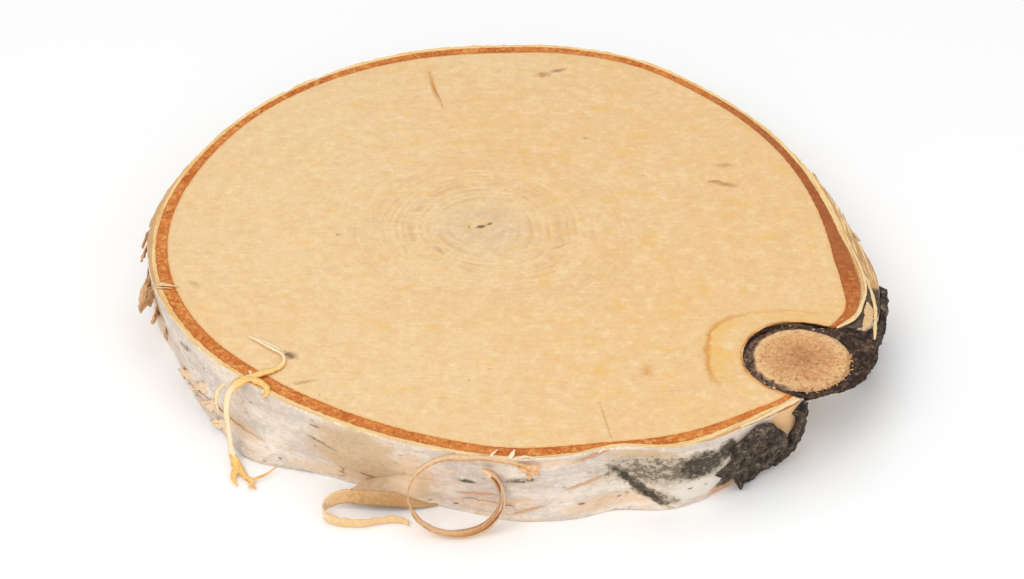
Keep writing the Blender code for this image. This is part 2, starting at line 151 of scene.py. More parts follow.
def woodEdge(degrees, height):
    return woodRadius(degrees) + footOut(degrees) * (1 - height / top)


def innerEdge(degrees, height):
    return woodEdge(degrees, height) + innerBarkWidth(degrees)


def barkEdge(degrees, height):
    turn = np.radians(degrees)
    calm = 1 - np.maximum(*[bump(degrees, at, wide) for at, wide in stem["crustBeds"]])
    flap = stem["flap"]
    lift = bump(degrees, flap["at"], flap["spread"]) * (1 - ease(height, flap["from"], flap["to"]))
    swell = 0.2 * noiseOf(3 * np.cos(turn), 3 * np.sin(turn), height / 9)
    return innerEdge(degrees, height) + outerBarkWidth(degrees) + swell * calm + flap["lift"] * lift


def wallSpot(degrees, height, out=0.0):  # a place on the bark wall, or a little outside it
    radius = float(barkEdge(np.array([float(degrees)]), np.array([float(height)]))[0]) + out
    turn = math.radians(degrees)
    return Vector((radius * math.cos(turn), radius * math.sin(turn), height))


def branchMiddle(height):  # x and y of the branch's middle at a height
    x, y = branch["centre"]
    drift = branch["lean"] * (height - top) / math.hypot(x, y)
    return x * (1 + drift), y * (1 + drift)


def stubEdge(height):
    return branch["foot"] + (branch["top"] - branch["foot"]) * height / top


def branchBarkEdge(degrees, height):
    turn = np.radians(degrees)
    rough = 0.7 * noiseOf(6 * np.cos(turn), 6 * np.sin(turn), height / 6)
    outside = 0.5 + 0.5 * np.cos(turn - math.radians(branch["outward"]))
    thick = branchBarkRadius(degrees) - stubEdge(top) - branch["buried"]
    return stubEdge(height) + branch["buried"] + (thick + rough * outside) * ease(height, *branch["bulge"])


def barkEdgeAt(about, height):  # the branch bark's radius in one direction
    return float(branchBarkEdge(np.array([float(about)]), np.array([float(height)]))[0])


def polar(degrees, radius, height, middle=(0, 0)):
    turn = np.radians(degrees)
    degrees, radius, height = np.broadcast_arrays(degrees, radius, height)
    return np.stack([radius * np.cos(turn) + middle[0], radius * np.sin(turn) + middle[1], height], -1)


def flatNoise(spots, size, seed):
    return noiseOf(spots[:, 0] / size, spots[:, 1] / size, seed)


def evenTurns(columns):
    return np.arange(columns) * 360 / columns


def turnOf(spots):
    return np.degrees(np.arctan2(spots[:, 1], spots[:, 0]))


def reachOf(spots):
    return np.hypot(spots[:, 0], spots[:, 1])


def gridFaces(rows, columns, wrapRows=False, wrapColumns=True):
    a, b = np.meshgrid(
        np.arange(rows if wrapRows else rows - 1),
        np.arange(columns if wrapColumns else columns - 1), indexing="ij")
    up, on = (a + 1) % rows, (b + 1) % columns
    corners = [a * columns + b, a * columns + on, up * columns + on, up * columns + b]
    return np.stack(corners, -1).reshape(-1, 4).tolist()


def discSpots(rows, start, end):  # rings closed by a fan of faces at both ends
    count, columns = len(rows), len(rows[0])
    faces = gridFaces(count, columns)
    last = (count - 1) * columns
    for i in range(columns):
        on = (i + 1) % columns
        faces += [[count * columns, i, on], [count * columns + 1, last + on, last + i]]
    return np.concatenate([*rows, [start, end]]), faces


def newObject(name, mesh):
    obj = bpy.data.objects.new(name, mesh)
    bpy.context.scene.collection.objects.link(obj)
    return obj


def newPiece(name, spots, faces, sharp=40):  # an object at the origin from places in millimetres
    mesh = bpy.data.meshes.new(name)
    mesh.from_pydata((np.asarray(spots, float).reshape(-1, 3) * mm).tolist(), [], faces)
    bm = bmesh.new()
    bm.from_mesh(mesh)
    bmesh.ops.recalc_face_normals(bm, faces=bm.faces)
    if bm.calc_volume(signed=True) < 0:
        bmesh.ops.reverse_faces(bm, faces=bm.faces)
    bm.to_mesh(mesh)
    bm.free()
    mesh.shade_smooth()
    mesh.set_sharp_from_angle(angle=math.radians(sharp))
    return newObject(name, mesh)


def settle(obj):  # replaces a mesh by what its modifiers make of it
    graph = bpy.context.evaluated_depsgraph_get()
    made = bpy.data.meshes.new_from_object(obj.evaluated_get(graph))
    obj.modifiers.clear()
    obj.data = made
    made.name = obj.name
    return obj


def cutAway(obj, *cutters):
    for cutter in cutters:
        cut = obj.modifiers.new("Cut", "BOOLEAN")
        cut.operation = "DIFFERENCE"
        cut.solver = "MANIFOLD"
        cut.object = cutter
    settle(obj)


def spotsOf(obj):  # the vertices in millimetres
    spots = np.zeros(len(obj.data.vertices) * 3)
    obj.data.vertices.foreach_get("co", spots)
    return spots.reshape(-1, 3) / mm


def keepValues(obj, **values):  # numbers for each vertex, which the materials read by name
    for name, numbers in values.items():
        made = obj.data.attributes.new(name, "FLOAT", "POINT")
        made.data.foreach_set("value", np.asarray(numbers, np.float32))


def dressPiece(obj, material, slot, *nodes):
    if material:
        obj.data.materials.clear()
        obj.data.materials.append(material)
    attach(obj, "root")
    if nodes:
        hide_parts(*nodes)


# node trees: a wire is a node's output, and plain sums of wires add the nodes that work them out
class Wire:
    def __init__(self, tree, socket):
        self.tree = tree
        self.socket = socket

    def join(self, operation, a, b=0.0):
        flat = all(not isinstance(term, tuple) for term in (a, b))
        flat = flat and all(term.socket.type == "VALUE" for term in (a, b) if isinstance(term, Wire))
        kind = "ShaderNodeMath" if flat else "ShaderNodeVectorMath"
        return first(self.tree, kind, {0: a, 1: b}, operation=operation)

    def __add__(self, other):
        return self.join("ADD", self, other)

    def __sub__(self, other):
        return self.join("SUBTRACT", self, other)

    def __rsub__(self, other):
        return self.join("SUBTRACT", other, self)

    def __mul__(self, other):
        return self.join("MULTIPLY", self, other)

    def __truediv__(self, other):
        return self.join("DIVIDE", self, other)

    def __rtruediv__(self, other):
        return self.join("DIVIDE", other, self)

    def __pow__(self, other):
        return self.join("POWER", self, other)

    def __abs__(self):
        return self.join("ABSOLUTE", self)

    def parts(self):  # x, y and z, or red, green and blue
        made = put(self.tree, "ShaderNodeSeparateXYZ", {0: self})
        return [Wire(self.tree, socket) for socket in made.outputs]

    def step(self, low, high, most=1.0, least=0.0):  # a smooth step, which falls where low is above high
        ends = {"From Min": low, "From Max": high, "To Min": least, "To Max": most}
        return first(self.tree, "ShaderNodeMapRange", {0: self, **ends}, interpolation_type="SMOOTHSTEP")

    def noise(self, size, detail=2.0, rough=0.5):
        inputs = {"Vector": self, "Scale": 1 / size, "Detail": detail, "Roughness": rough}
        return first(self.tree, "ShaderNodeTexNoise", inputs)

    def lineNoise(self, scale, detail):  # noise along one number
        inputs = {"W": self, "Scale": scale, "Detail": detail}
        return first(self.tree, "ShaderNodeTexNoise", inputs, noise_dimensions="1D")


def put(tree, kind, inputs=None, **settings):
    made = tree.nodes.new(kind)
    for name, value in settings.items():
        setattr(made, name, value)
    for key, value in (inputs or {}).items():
        socket = made.inputs[key]
        if isinstance(value, Wire):
            tree.links.new(value.socket, socket)
        elif socket.type == "VECTOR" and isinstance(value, (int, float)):
            socket.default_value = (value, value, value)
        else:
            socket.default_value = value
    return made


def first(tree, kind, inputs=None, **settings):
    return Wire(tree, put(tree, kind, inputs, **settings).outputs[0])


def mix(share, under, over):  # one colour over another
    inputs = {0: share, 6: under, 7: over}
    made = put(share.tree, "ShaderNodeMix", inputs, data_type="RGBA", clamp_factor=True)
    return Wire(share.tree, made.outputs[2])


def newGroup(name, kind, inputs, outputs):  # an input's value is its start value or its socket type
    tree = bpy.data.node_groups.new(name, kind)
    plain = {float: "NodeSocketFloat", int: "NodeSocketInt"}
    for label, value in inputs.items():
        kindOf = plain.get(type(value), value)
        socket = tree.interface.new_socket(name=label, in_out="INPUT", socket_type=kindOf)
        if type(value) in plain:
            socket.default_value = value
    for label, socketType in outputs.items():
        tree.interface.new_socket(name=label, in_out="OUTPUT", socket_type=socketType)
    given = {socket.name: Wire(tree, socket) for socket in tree.nodes.new("NodeGroupInput").outputs}
    out = tree.nodes.new("NodeGroupOutput").inputs

    def give(**results):
        for label, wire in results.items():
            tree.links.new(wire.socket, out[label])
        return tree

    return tree, given, give


vectorIn = "NodeSocketVector"
number = "NodeSocketFloat"


def makeBlotches():  # soft patches where noise is above a level
    tree, given, give = newGroup("blotches", "ShaderNodeTree", {
        "vector": vectorIn, "size": 5.0, "low": 0.5, "high": 0.7, "seed": 0.0}, {"mask": number})
    texture = ((given["vector"] + given["seed"]) / given["size"]).noise(1.0, 3.0)
    return give(mask=texture.step(given["low"], given["high"]))


def makeSpecks():  # small round spots, a share of a jittered grid of cells
    tree, given, give = newGroup("specks", "ShaderNodeTree", {
        "vector": vectorIn, "cell": 5.0, "spot": 0.5, "share": 0.3}, {"mask": number})
    small = given["vector"] / given["cell"]
    cells = put(tree, "ShaderNodeTexVoronoi", {"Vector": small, "Scale": 1.0}).outputs
    red, green, blue = Wire(tree, cells["Color"]).parts()
    shown = red.join("LESS_THAN", red, given["share"])
    grown = given["spot"] / given["cell"] * (green + 0.4)
    return give(mask=shown * (Wire(tree, cells["Distance"]) / grown).step(1.0, 0.4))


def makeRings():  # growth rings from a distance that follows the outline
    tree, given, give = newGroup("growthRings", "ShaderNodeTree", {
        "distance": 0.0, "vector": vectorIn, "spacing": 2.0, "wobble": 1.0}, {"line": number, "tone": number})
    moved = (given["vector"].noise(22, 3) - 0.5) * given["wobble"] + given["distance"]
    year = moved / given["spacing"] + moved.lineNoise(0.12, 1.0) * 2.4
    share = year.join("FRACT", year)
    return give(line=share**2.6 * share.step(1.0, 0.82), tone=year.lineNoise(0.45, 2.0))


def makeMark():  # one small long mark on the top face
    tree, given, give = newGroup("smallMark", "ShaderNodeTree", {
        "vector": vectorIn, "place": vectorIn, "turn": 0.0, "length": 4.0, "width": 1.0, "rough": 1.3},
        {"mask": number})
    turned = first(tree, "ShaderNodeVectorRotate", {
        "Vector": given["vector"] - given["place"], "Angle": given["turn"] * -1.0}, rotation_type="Z_AXIS")
    along, across, below = turned.parts()
    far = ((along / given["length"]) ** 2.0 + (across / given["width"]) ** 2.0) ** 0.5
    far = far + (given["vector"].noise(1.1, 4, 0.75) - 0.5) * given["rough"]
    return give(mask=far.step(0.8, 0.05) * below.step(-1.2, -0.6))


def makeCrackle():  # fine cracks between the cells of a crust
    tree, given, give = newGroup("crackle", "ShaderNodeTree", {
        "vector": vectorIn, "cell": 3.0, "crack": 0.2}, {"cracks": number, "cells": number})
    wander = put(tree, "ShaderNodeTexNoise", {"Vector": given["vector"], "Scale": 0.5, "Detail": 2.0})
    small = (given["vector"] + Wire(tree, wander.outputs["Color"]) * 2.0) / given["cell"]
    edges = first(tree, "ShaderNodeTexVoronoi", {"Vector": small, "Scale": 1.0}, feature="DISTANCE_TO_EDGE")
    cells = put(tree, "ShaderNodeTexVoronoi", {"Vector": small, "Scale": 1.0})
    return give(cracks=edges.step(given["crack"], 0.0), cells=Wire(tree, cells.outputs["Color"]).parts()[0])


blotches = makeBlotches()
specks = makeSpecks()
growthRings = makeRings()
smallMark = makeMark()
crackle = makeCrackle()


class Skin:  # a material whose colour is painted on in coats
    def __init__(self, name, colour, roughness=0.7, sheen=0.0):
        self.material = bpy.data.materials.new(name)
        self.material.use_nodes = True
        self.material.diffuse_color = colour
        self.tree = self.material.node_tree
        self.shader = self.tree.nodes["Principled BSDF"].inputs
        self.shader["Roughness"].default_value = roughness
        self.shader["Specular IOR Level"].default_value = 0.3
        self.shader["Sheen Weight"].default_value = sheen
        place = put(self.tree, "ShaderNodeTexCoord").outputs["Object"]
        self.spot = Wire(self.tree, place) * 1000.0
        self.colour = colour

    def value(self, name):
        made = put(self.tree, "ShaderNodeAttribute", attribute_name=name)
        return Wire(self.tree, made.outputs["Fac"])

    def use(self, group, **inputs):  # places a shared effect and gives what it puts out
        made = put(self.tree, "ShaderNodeGroup", {"vector": self.spot, **inputs}, node_tree=group)
        wires = [Wire(self.tree, socket) for socket in made.outputs]
        return wires if len(wires) > 1 else wires[0]

    def paint(self, share, colour):
        self.colour = mix(share, self.colour, colour)

    def coats(self, *coats):  # each coat: noise, where it starts and is full, strength, colour
        for texture, low, high, strength, colour in coats:
            self.paint(texture.step(low, high, strength), colour)

    def finish(self, height, depth):  # the depth of the relief is in millimetres
        self.tree.links.new(self.colour.socket, self.shader["Base Color"])
        inputs = {"Height": height, "Strength": 1.0, "Distance": depth * mm}
        relief = first(self.tree, "ShaderNodeBump", inputs)
        self.tree.links.new(relief.socket, self.shader["Normal"])
        return self.material


def raysFrom(flat, around, outward, size):  # streaks that run out from a middle
    unit = flat.join("NORMALIZE", flat)
    return (unit * around + flat * outward).noise(size, 2, 0.6)


def makeSawnWood():
    look = {
        "pale": ink(236, 202, 152), "warm": ink(236, 196, 140), "ring": ink(202, 156, 108),
        "ringCore": ink(212, 176, 142), "ochre": ink(238, 186, 92), "brown": ink(178, 128, 76),
        "dark": ink(112, 78, 50), "halo": ink(210, 142, 58), "rim": ink(228, 168, 92),
    }
    skin = Skin("sawnBirch", look["pale"], 0.62)
    spot = skin.spot
    x, _, z = spot.parts()
    distance = skin.value("ringPlace")
    ring, tone = skin.use(growthRings, distance=distance, spacing=3.1, wobble=4.0)
    skin.coats((x * (1 / 260) + (spot.noise(45, 3) * 1.2 - 0.1), 0.2, 0.95, 1.0, look["warm"]))

    toCore = distance.step(64.0, 8.0)
    uneven = spot.noise(11, 4, 0.65).step(0.42, 0.62)
    skin.paint(ring * (toCore * 0.85 + 0.12) * uneven, look["ring"])
    skin.paint(tone.step(0.45, 0.75) * (toCore * 0.62 + 0.04) * (uneven * 0.6 + 0.5), look["ringCore"])
    skin.paint(tone.step(0.5, 0.25) * (toCore * 0.2 + 0.08), ink(245, 220, 178))
    mottle = (spot * (0.9, 1.0, 1.0)).noise(3.2, 5, 0.74)
    rays = raysFrom((spot - (*stem["pith"], 0)) * (1, 1, 0), 120.0, 0.06, 1.1)
    saw = (spot * (0.06, 1.0, 1.0)).noise(0.9, 2, 0.6)
    skin.coats(
        (distance, 26.0, 9.0, 0.48, ink(222, 194, 160)),
        (mottle, 0.49, 0.66, 0.36, ink(222, 176, 116)), (mottle, 0.5, 0.33, 0.42, ink(250, 226, 184)),
        (rays, 0.55, 0.8, 0.16, look["ring"]),
        (saw, 0.5, 0.85, 0.2, look["ring"]), (saw, 0.45, 0.2, 0.15, ink(248, 224, 184)))

    streaky = spot * (0.55, 1.0, 1.0)
    ochre = skin.use(blotches, vector=streaky, size=5.6, low=0.52, high=0.76, seed=3.0)
    frayed = streaky.noise(2.0, 4, 0.75).step(0.38, 0.6)
    skin.paint(ochre * frayed * x.step(-110.0, 90.0, 0.75, 0.4), look["ochre"])
    wide = skin.use(blotches, vector=streaky, size=24.0, low=0.45, high=0.75, seed=8.0)
    skin.paint(wide * 0.22, ink(234, 186, 116))
    skin.paint(skin.use(specks, cell=15.0, spot=1.4, share=0.2) * frayed * 0.8, look["ochre"])
    skin.paint(skin.use(specks, cell=7.0, spot=0.5, share=0.2) * 0.4, look["brown"])
    fine = spot.noise(0.8, 2, 0.7)
    skin.coats((fine, 0.55, 0.8, 0.12, look["brown"]))

    halo = skin.value("haloPlace") + (spot.noise(7, 5, 0.7) * 6.4 - 3.2)
    shown = skin.value("haloShow")
    skin.paint(abs(halo + 2.4).step(5.0, 0.0, 0.5) * shown, look["ochre"])
    skin.paint(abs(halo).step(1.7, 0.0, 0.78) * shown, look["halo"])
    knot = skin.value("knotPlace")
    skin.coats((knot, 3.0, 0.0, 0.6, look["rim"]))
    # painted shade: a near-black colour on the bay wall just below the top, beside the branch, stands in for
    # the shadow in the gap round the knot
    skin.paint(knot.step(1.6, 0.9) * z.step(26.9, 26.3), ink(56, 38, 28))
    skin.coats((skin.value("edgePlace"), 1.3, 0.0, 0.55, look["rim"]))

    marks = [  # x, y, turn, length, width, strength: flecks, nicks and scratches that the sawn face has
        (-10.0, 2.2, 0.25, 3.4, 2.0, 0.95, "dark"), (-6.8, 3.9, 0.6, 2.6, 1.4, 0.9, "dark"),
        (-14.2, 2.0, 1.5, 2.4, 0.9, 0.7, "brown"), (-29.2, 92.6, -1.36, 14.5, 1.9, 0.7, "halo"),
        (-24.5, -12, -0.9, 6.0, 1.6, 0.55, "brown"), (18, -10, 0.5, 7.0, 1.3, 0.35, "brown"),
        (13.5, 103.2, 0.35, 5.6, 3.6, 0.8, "brown"), (19.4, 106.2, 0.3, 5.4, 2.2, 0.7, "dark"),
        (80.8, 28.6, -0.3, 9.0, 2.8, 0.75, "brown"), (76.6, 30.4, 0.1, 5.0, 2.0, 0.75, "brown"),
        (81, 41, 0.1, 7.0, 2.4, 0.45, "brown"), (-74.2, -71.0, -0.5, 6.0, 3.2, 0.9, "dark"),
        (-68.2, -85.2, 0.25, 8.0, 1.8, 0.55, "brown"), (32.2, -106, -1.38, 21.0, 0.7, 0.45, "brown"),
        (89.2, -99.6, 0.75, 5.4, 1.2, 0.75, "dark"), (-110.5, -31.5, -0.7, 5.0, 2.6, 0.4, "brown"),
        (5.8, 50.6, 0.0, 4.6, 3.6, 0.7, "ochre"), (31.2, -79.6, 0.0, 6.0, 5.0, 0.55, "ochre"),
        (46.7, -79.6, 0.0, 4.4, 6.0, 0.6, "halo"), (29.1, 58.7, 0.0, 2.2, 1.6, 0.6, "brown"),
        (-61.6, -2.6, 0.0, 2.0, 1.6, 0.6, "brown"), (50.2, 60.7, 0.0, 7.0, 4.0, 0.4, "ochre"),
    ]
    for markX, markY, turn, length, width, strength, tint in marks:
        mark = skin.use(smallMark, place=(markX, markY, top), turn=turn, length=length, width=width)
        skin.paint(mark * strength, look[tint])
    return skin.finish(saw * 0.5 + rays * 0.2 + ring * 0.35 + fine * 0.3, 0.06)


def makeInnerBark():
    look = {
        "orange": ink(220, 132, 60), "deep": ink(200, 104, 36), "fleck": ink(240, 176, 104),
        "brown": ink(160, 84, 40)}
    skin = Skin("orangeInnerBark", look["orange"], 0.78)
    spot = skin.spot
    x, y = spot.parts()[:2]
    layered = spot.noise(1.8, 5, 0.85)
    skin.colour = look["deep"]
    skin.coats(
        (spot.noise(14, 3), 0.35, 0.65, 1.0, look["orange"]),
        (layered, 0.52, 0.66, 0.7, look["fleck"]), (layered, 0.46, 0.34, 0.7, look["brown"]))
    stone = skin.use(specks, cell=1.7, spot=0.8, share=0.4)
    skin.paint(stone * 0.4, ink(240, 182, 112))
    for seed, tint, strength in (
            (2.0, look["brown"], 0.4), (7.0, ink(236, 170, 92), 0.7), (13.0, ink(144, 74, 34), 0.32)):
        skin.paint(skin.use(blotches, size=2.2, low=0.54, high=0.64, seed=seed) * strength, tint)
    share = skin.value("bandShare") + (spot.noise(2.4, 4, 0.7) * 0.3 - 0.15)
    skin.coats(
        (share, 0.2, 0.0, 0.6, ink(184, 106, 50)), (share, 0.8, 0.86, 0.5, ink(168, 96, 46)),
        (share, 0.87, 0.95, 0.95, ink(240, 204, 140)))
    skin.paint(x.step(60.0, 110.0, 0.72) * y.step(-80.0, 0.0), ink(152, 82, 44))
    return skin.finish(stone * 0.5 + layered, 0.3)


def makePaperBark():
    look = {
        "white": ink(232, 219, 203), "grey": ink(206, 193, 180), "cream": ink(243, 209, 149),
        "orange": ink(204, 146, 98), "tan": ink(204, 168, 122), "lenticel": ink(138, 108, 80),
    }
    skin = Skin("whitePaperBark", look["white"], 0.6, 0.1)
    spot = skin.spot
    streak = (spot * (0.12, 0.12, 1.0)).noise(0.9, 3, 0.6)
    broad = (spot * (0.3, 0.3, 1.0)).noise(7, 3)
    grain = (spot * (0.6, 0.6, 1.0)).noise(1.6, 4, 0.75)
    skin.colour = look["grey"]
    skin.coats((broad, 0.4, 0.65, 1.0, look["white"]))
    blush = skin.use(blotches, vector=spot * (0.4, 0.4, 1.0), size=7.0, low=0.46, high=0.68, seed=11.0)
    skin.paint(blush * 0.55, ink(236, 210, 188))
    skin.coats(
        (streak, 0.55, 0.75, 0.35, ink(242, 236, 230)), (streak, 0.45, 0.25, 0.5, look["tan"]),
        (grain, 0.5, 0.36, 0.4, ink(190, 166, 138)), (grain, 0.52, 0.66, 0.4, ink(246, 236, 222)))

    patches = [  # attribute, colour, strength, how broken up, its size, where it starts and is full
        ("tanPatch", look["tan"], 0.75, 2.0, 4.0, 0.0, 1.0),
        ("tanPatch", ink(150, 118, 78), 0.5, 3.4, 1.1, 0.95, 1.7),
        ("peachPatch", ink(230, 194, 156), 0.65, 2.4, 5.0, 0.1, 1.1),
        ("peachPatch", ink(206, 156, 108), 0.45, 3.0, 1.8, 0.8, 1.6),
        ("orangePatch", look["orange"], 0.7, 2.2, 2.0, 0.2, 0.95),
        ("barePatch", ink(240, 190, 128), 0.92, 1.3, 2.6, 0.25, 0.75),
        ("whitePatch", ink(231, 222, 209), 0.9, 1.4, 2.6, 0.25, 0.8),
        ("lichenPatch", ink(176, 158, 130), 0.7, 2.2, 2.6, 0.1, 0.9),
        ("lichenPatch", ink(112, 97, 71), 0.9, 4.2, 1.5, 0.75, 1.25),
        ("blackPatch", ink(120, 108, 84), 0.7, 2.4, 2.0, 0.1, 0.8),
        ("blackPatch", ink(64, 53, 37), 0.92, 3.4, 1.3, 0.5, 0.95),
    ]
    masks = []
    for name, tint, strength, breakUp, size, low, high in patches:
        reach = skin.value(name)
        swing = ((spot * (0.7, 0.7, 1.0)).noise(size, 6, 0.75) - 0.5) * breakUp
        masks.append((swing * reach.step(0.0, 0.3) + reach).step(low, high))
        skin.paint(masks[-1] * strength, tint)
    peach, lichen = masks[2], masks[8]
    squeezed = spot * (0.6, 0.6, 1.0)
    skin.paint(skin.use(specks, vector=squeezed, cell=2.6, spot=0.6, share=0.24) * 0.45, look["lenticel"])

    across = skin.value("rimAcross")
    aside = first(skin.tree, "ShaderNodeCombineXYZ", {0: across * 1.5})
    layers = (spot * 0.1 + aside).noise(1.0, 3, 0.6)
    cut = mix(layers.step(0.45, 0.62), look["cream"], ink(228, 180, 112))
    cut = mix(across.step(1.3, 2.4) * layers.step(0.36, 0.52) * 0.8, cut, ink(176, 132, 88))
    rimDark = skin.value("rimDark")
    cut = mix(rimDark.step(0.05, 0.45, 0.85), cut, ink(206, 158, 106))
    darkRim = mix(grain.step(0.4, 0.62), ink(48, 38, 32), ink(98, 80, 66))
    cut = mix(rimDark.step(0.55, 0.8, 0.96), cut, darkRim)
    skin.paint(skin.value("cutFace").step(0.3, 0.7), cut)
    return skin.finish(streak * 0.8 + broad * 0.3 + lichen * 0.8 - peach * 0.8, 0.16)


def makeCrust():
    look = {"dark": ink(102, 87, 74), "grey": ink(160, 141, 123), "deep": ink(38, 31, 26)}
    skin = Skin("blackCrust", look["dark"], 0.92)
    cracks, cells = skin.use(crackle, cell=2.6, crack=0.12)
    cloudy = skin.spot.noise(3.4, 5, 0.75)
    fine = skin.spot.noise(1.2, 4, 0.8)
    skin.colour = look["deep"]
    skin.coats(
        (cloudy, 0.36, 0.6, 1.0, look["dark"]), (cloudy, 0.52, 0.7, 1.0, look["grey"]),
        (cells, 0.55, 1.0, 0.35, ink(128, 104, 82)), (fine, 0.52, 0.36, 0.8, look["deep"]))
    skin.paint(cracks * 0.35, look["deep"])
    skin.paint(skin.use(specks, cell=2.2, spot=0.45, share=0.22) * 0.55, ink(176, 160, 142))
    return skin.finish(fine * 0.5 + cloudy - cracks * 0.35, 0.5)


def makeStubWood():
    look = {
        "tan": ink(234, 180, 122), "brown": ink(190, 124, 76), "light": ink(250, 214, 158),
        "dark": ink(120, 76, 46)}
    skin = Skin("deadBranchWood", look["tan"], 0.8)
    spot = skin.spot
    flat = (spot - (*branch["centre"], top)) * (1, 1, 0)
    length = put(skin.tree, "ShaderNodeVectorMath", {0: flat}, operation="LENGTH")
    distance = Wire(skin.tree, length.outputs["Value"])
    ring = skin.use(growthRings, distance=distance, spacing=1.5, wobble=4.0)[0]
    rays = raysFrom(flat, 18.0, 0.12, 0.8)
    fibres = spot.noise(1.7, 5, 0.8)
    skin.paint(distance.step(14.0, 2.0, 0.55) + spot.noise(7, 3).step(0.4, 0.7, 0.4), look["brown"])
    skin.paint(ring * 0.6, look["brown"])
    skin.coats(
        (rays, 0.5, 0.7, 0.5, look["light"]), (rays, 0.46, 0.3, 0.55, look["brown"]),
        (distance, 10.5, 15.5, 0.5, look["light"]), (fibres, 0.49, 0.36, 0.75, look["brown"]),
        (fibres, 0.42, 0.3, 0.7, look["dark"]), (fibres, 0.53, 0.68, 0.65, look["light"]))
    skin.paint(skin.use(specks, cell=2.6, spot=0.6, share=0.24) * 0.6, look["dark"])
    worn = mix(spot.noise(1.5, 4, 0.75).step(0.4, 0.62), ink(66, 46, 36), ink(150, 118, 98))
    skin.paint(skin.value("edgeBark"), worn)
    return skin.finish(fibres + rays * 0.5, 0.5)


def makeBranchBark():
    look = {
        "dark": ink(64, 46, 36), "brown": ink(104, 80, 62), "pale": ink(186, 146, 108),
        "deep": ink(34, 26, 21)}
    skin = Skin("darkBranchBark", look["dark"], 0.9)
    cracks = skin.use(crackle, cell=2.2, crack=0.16)[0]
    cloudy = skin.spot.noise(3.2, 4, 0.65)
    fine = skin.spot.noise(0.7, 3, 0.7)
    skin.coats((cloudy, 0.42, 0.62, 1.0, look["brown"]), (fine, 0.48, 0.34, 0.8, look["deep"]))
    skin.paint(cracks * 0.7, look["deep"])
    torn = skin.use(blotches, size=4.0, low=0.56, high=0.7, seed=5.0)
    skin.paint(torn * 0.45, ink(130, 106, 88))
    skin.paint(fine.step(0.56, 0.7) * torn, look["pale"])
    ring = skin.value("innerRing")
    purple = mix(fine.step(0.4, 0.62), ink(62, 42, 33), ink(146, 112, 94))
    skin.paint(ring * 0.85, purple)
    skin.paint(skin.use(specks, cell=1.5, spot=0.7, share=0.36) * ring, ink(226, 208, 190))
    return skin.finish(fine * 0.5 + cloudy - cracks * 0.7, 0.45)


def makeStrip(name, pale, light, deep):  # the tint attribute goes from pale at 0 to deep at 1
    skin = Skin(name, ink(*light), 0.55, 0.1)
    streak = skin.spot.noise(1.4, 4, 0.7)
    tint = skin.value("tint") + (streak * 1.1 - 0.55)
    skin.colour = ink(*pale)
    skin.coats(
        (tint, 0.0, 0.5, 1.0, ink(*light)), (tint, 0.5, 1.0, 1.0, ink(*deep)),
        (skin.spot.noise(6, 2), 0.5, 0.7, 0.2, ink(*light)))
    return skin.finish(streak, 0.15)


looks = {
    "wood": makeSawnWood(),
    "innerBark": makeInnerBark(),
    "paper": makePaperBark(),
    "crust": makeCrust(),
    "stub": makeStubWood(),
    "branchBark": makeBranchBark(),
    "peach": makeStrip("peachPeel", (246, 224, 192), (236, 192, 142), (196, 138, 84)),
    "yellow": makeStrip("yellowPeel", (248, 228, 190), (246, 202, 122), (218, 152, 76)),
    "cream": makeStrip("creamPeel", (244, 226, 194), (244, 214, 160), (218, 178, 126)),
    "tanPeel": makeStrip("tanPeel", (246, 224, 188), (232, 192, 138), (190, 146, 94)),
    "lip": makeStrip("knotLip", (240, 190, 116), (216, 150, 76), (140, 84, 44)),
    "fibre": makeStrip("branchFibre", (226, 176, 118), (206, 150, 96), (150, 100, 60)),
    "flake": makeStrip("brownFlake", (236, 206, 170), (214, 170, 124), (146, 102, 66)),
    "lenticel": makeStrip("lenticelCork", (146, 118, 92), (110, 84, 64), (76, 58, 44)),
}
print("materials made")

# the bay that the branch and its bark take out of the slice
bayShape = {"columns": 200, "rows": 24, "past": 3}


def makeBay():
    columns, rows = bayShape["columns"], bayShape["rows"]
    degrees = evenTurns(columns)
    spots = []
    for height in np.linspace(-bayShape["past"], top + bayShape["past"], rows):
        radius = branchBarkEdge(degrees, height) + branch["clearance"]
        spots.append(polar(degrees, radius, height, branchMiddle(height)))
    caps = [list(range(columns)), list(range((rows - 1) * columns, rows * columns))]
    return newPiece("bay", np.concatenate(spots), gridFaces(rows, columns) + caps)


bay = makeBay()
crack = {"from": (-31.6, 106), "to": (-25.6, 79.5), "width": 3.0, "depth": 1.5, "steps": 14, "above": 28}


def crackCutter():
    start, end = Vector(crack["from"]), Vector(crack["to"])
    across = Vector((-(end - start).y, (end - start).x)).normalized()
    spots = []
    for i in range(crack["steps"] + 1):
        share = i / crack["steps"]
        middle = start.lerp(end, share) + across * 0.35 * math.sin(9 * share + 1)
        wide = across * (crack["width"] * (1 - share) ** 0.6 * 0.5 + 0.06)
        deep = top - crack["depth"] * (1 - 0.7 * share)
        spots += [(*(middle + wide), crack["above"]), (*(middle - wide), crack["above"]), (*middle, deep)]
    count = len(spots)
    caps = [[0, 1, 2], [count - 3, count - 2, count - 1]]
    return newPiece("crackCutter", spots, gridFaces(crack["steps"] + 1, 3) + caps)


wood = {"columns": 300, "rings": 62, "sideRows": 6, "eased": 0.12}
knotHalo = {"middle": (97, -72), "wide": 29.4, "deep": 25, "corner": 2.8, "reach": 28}


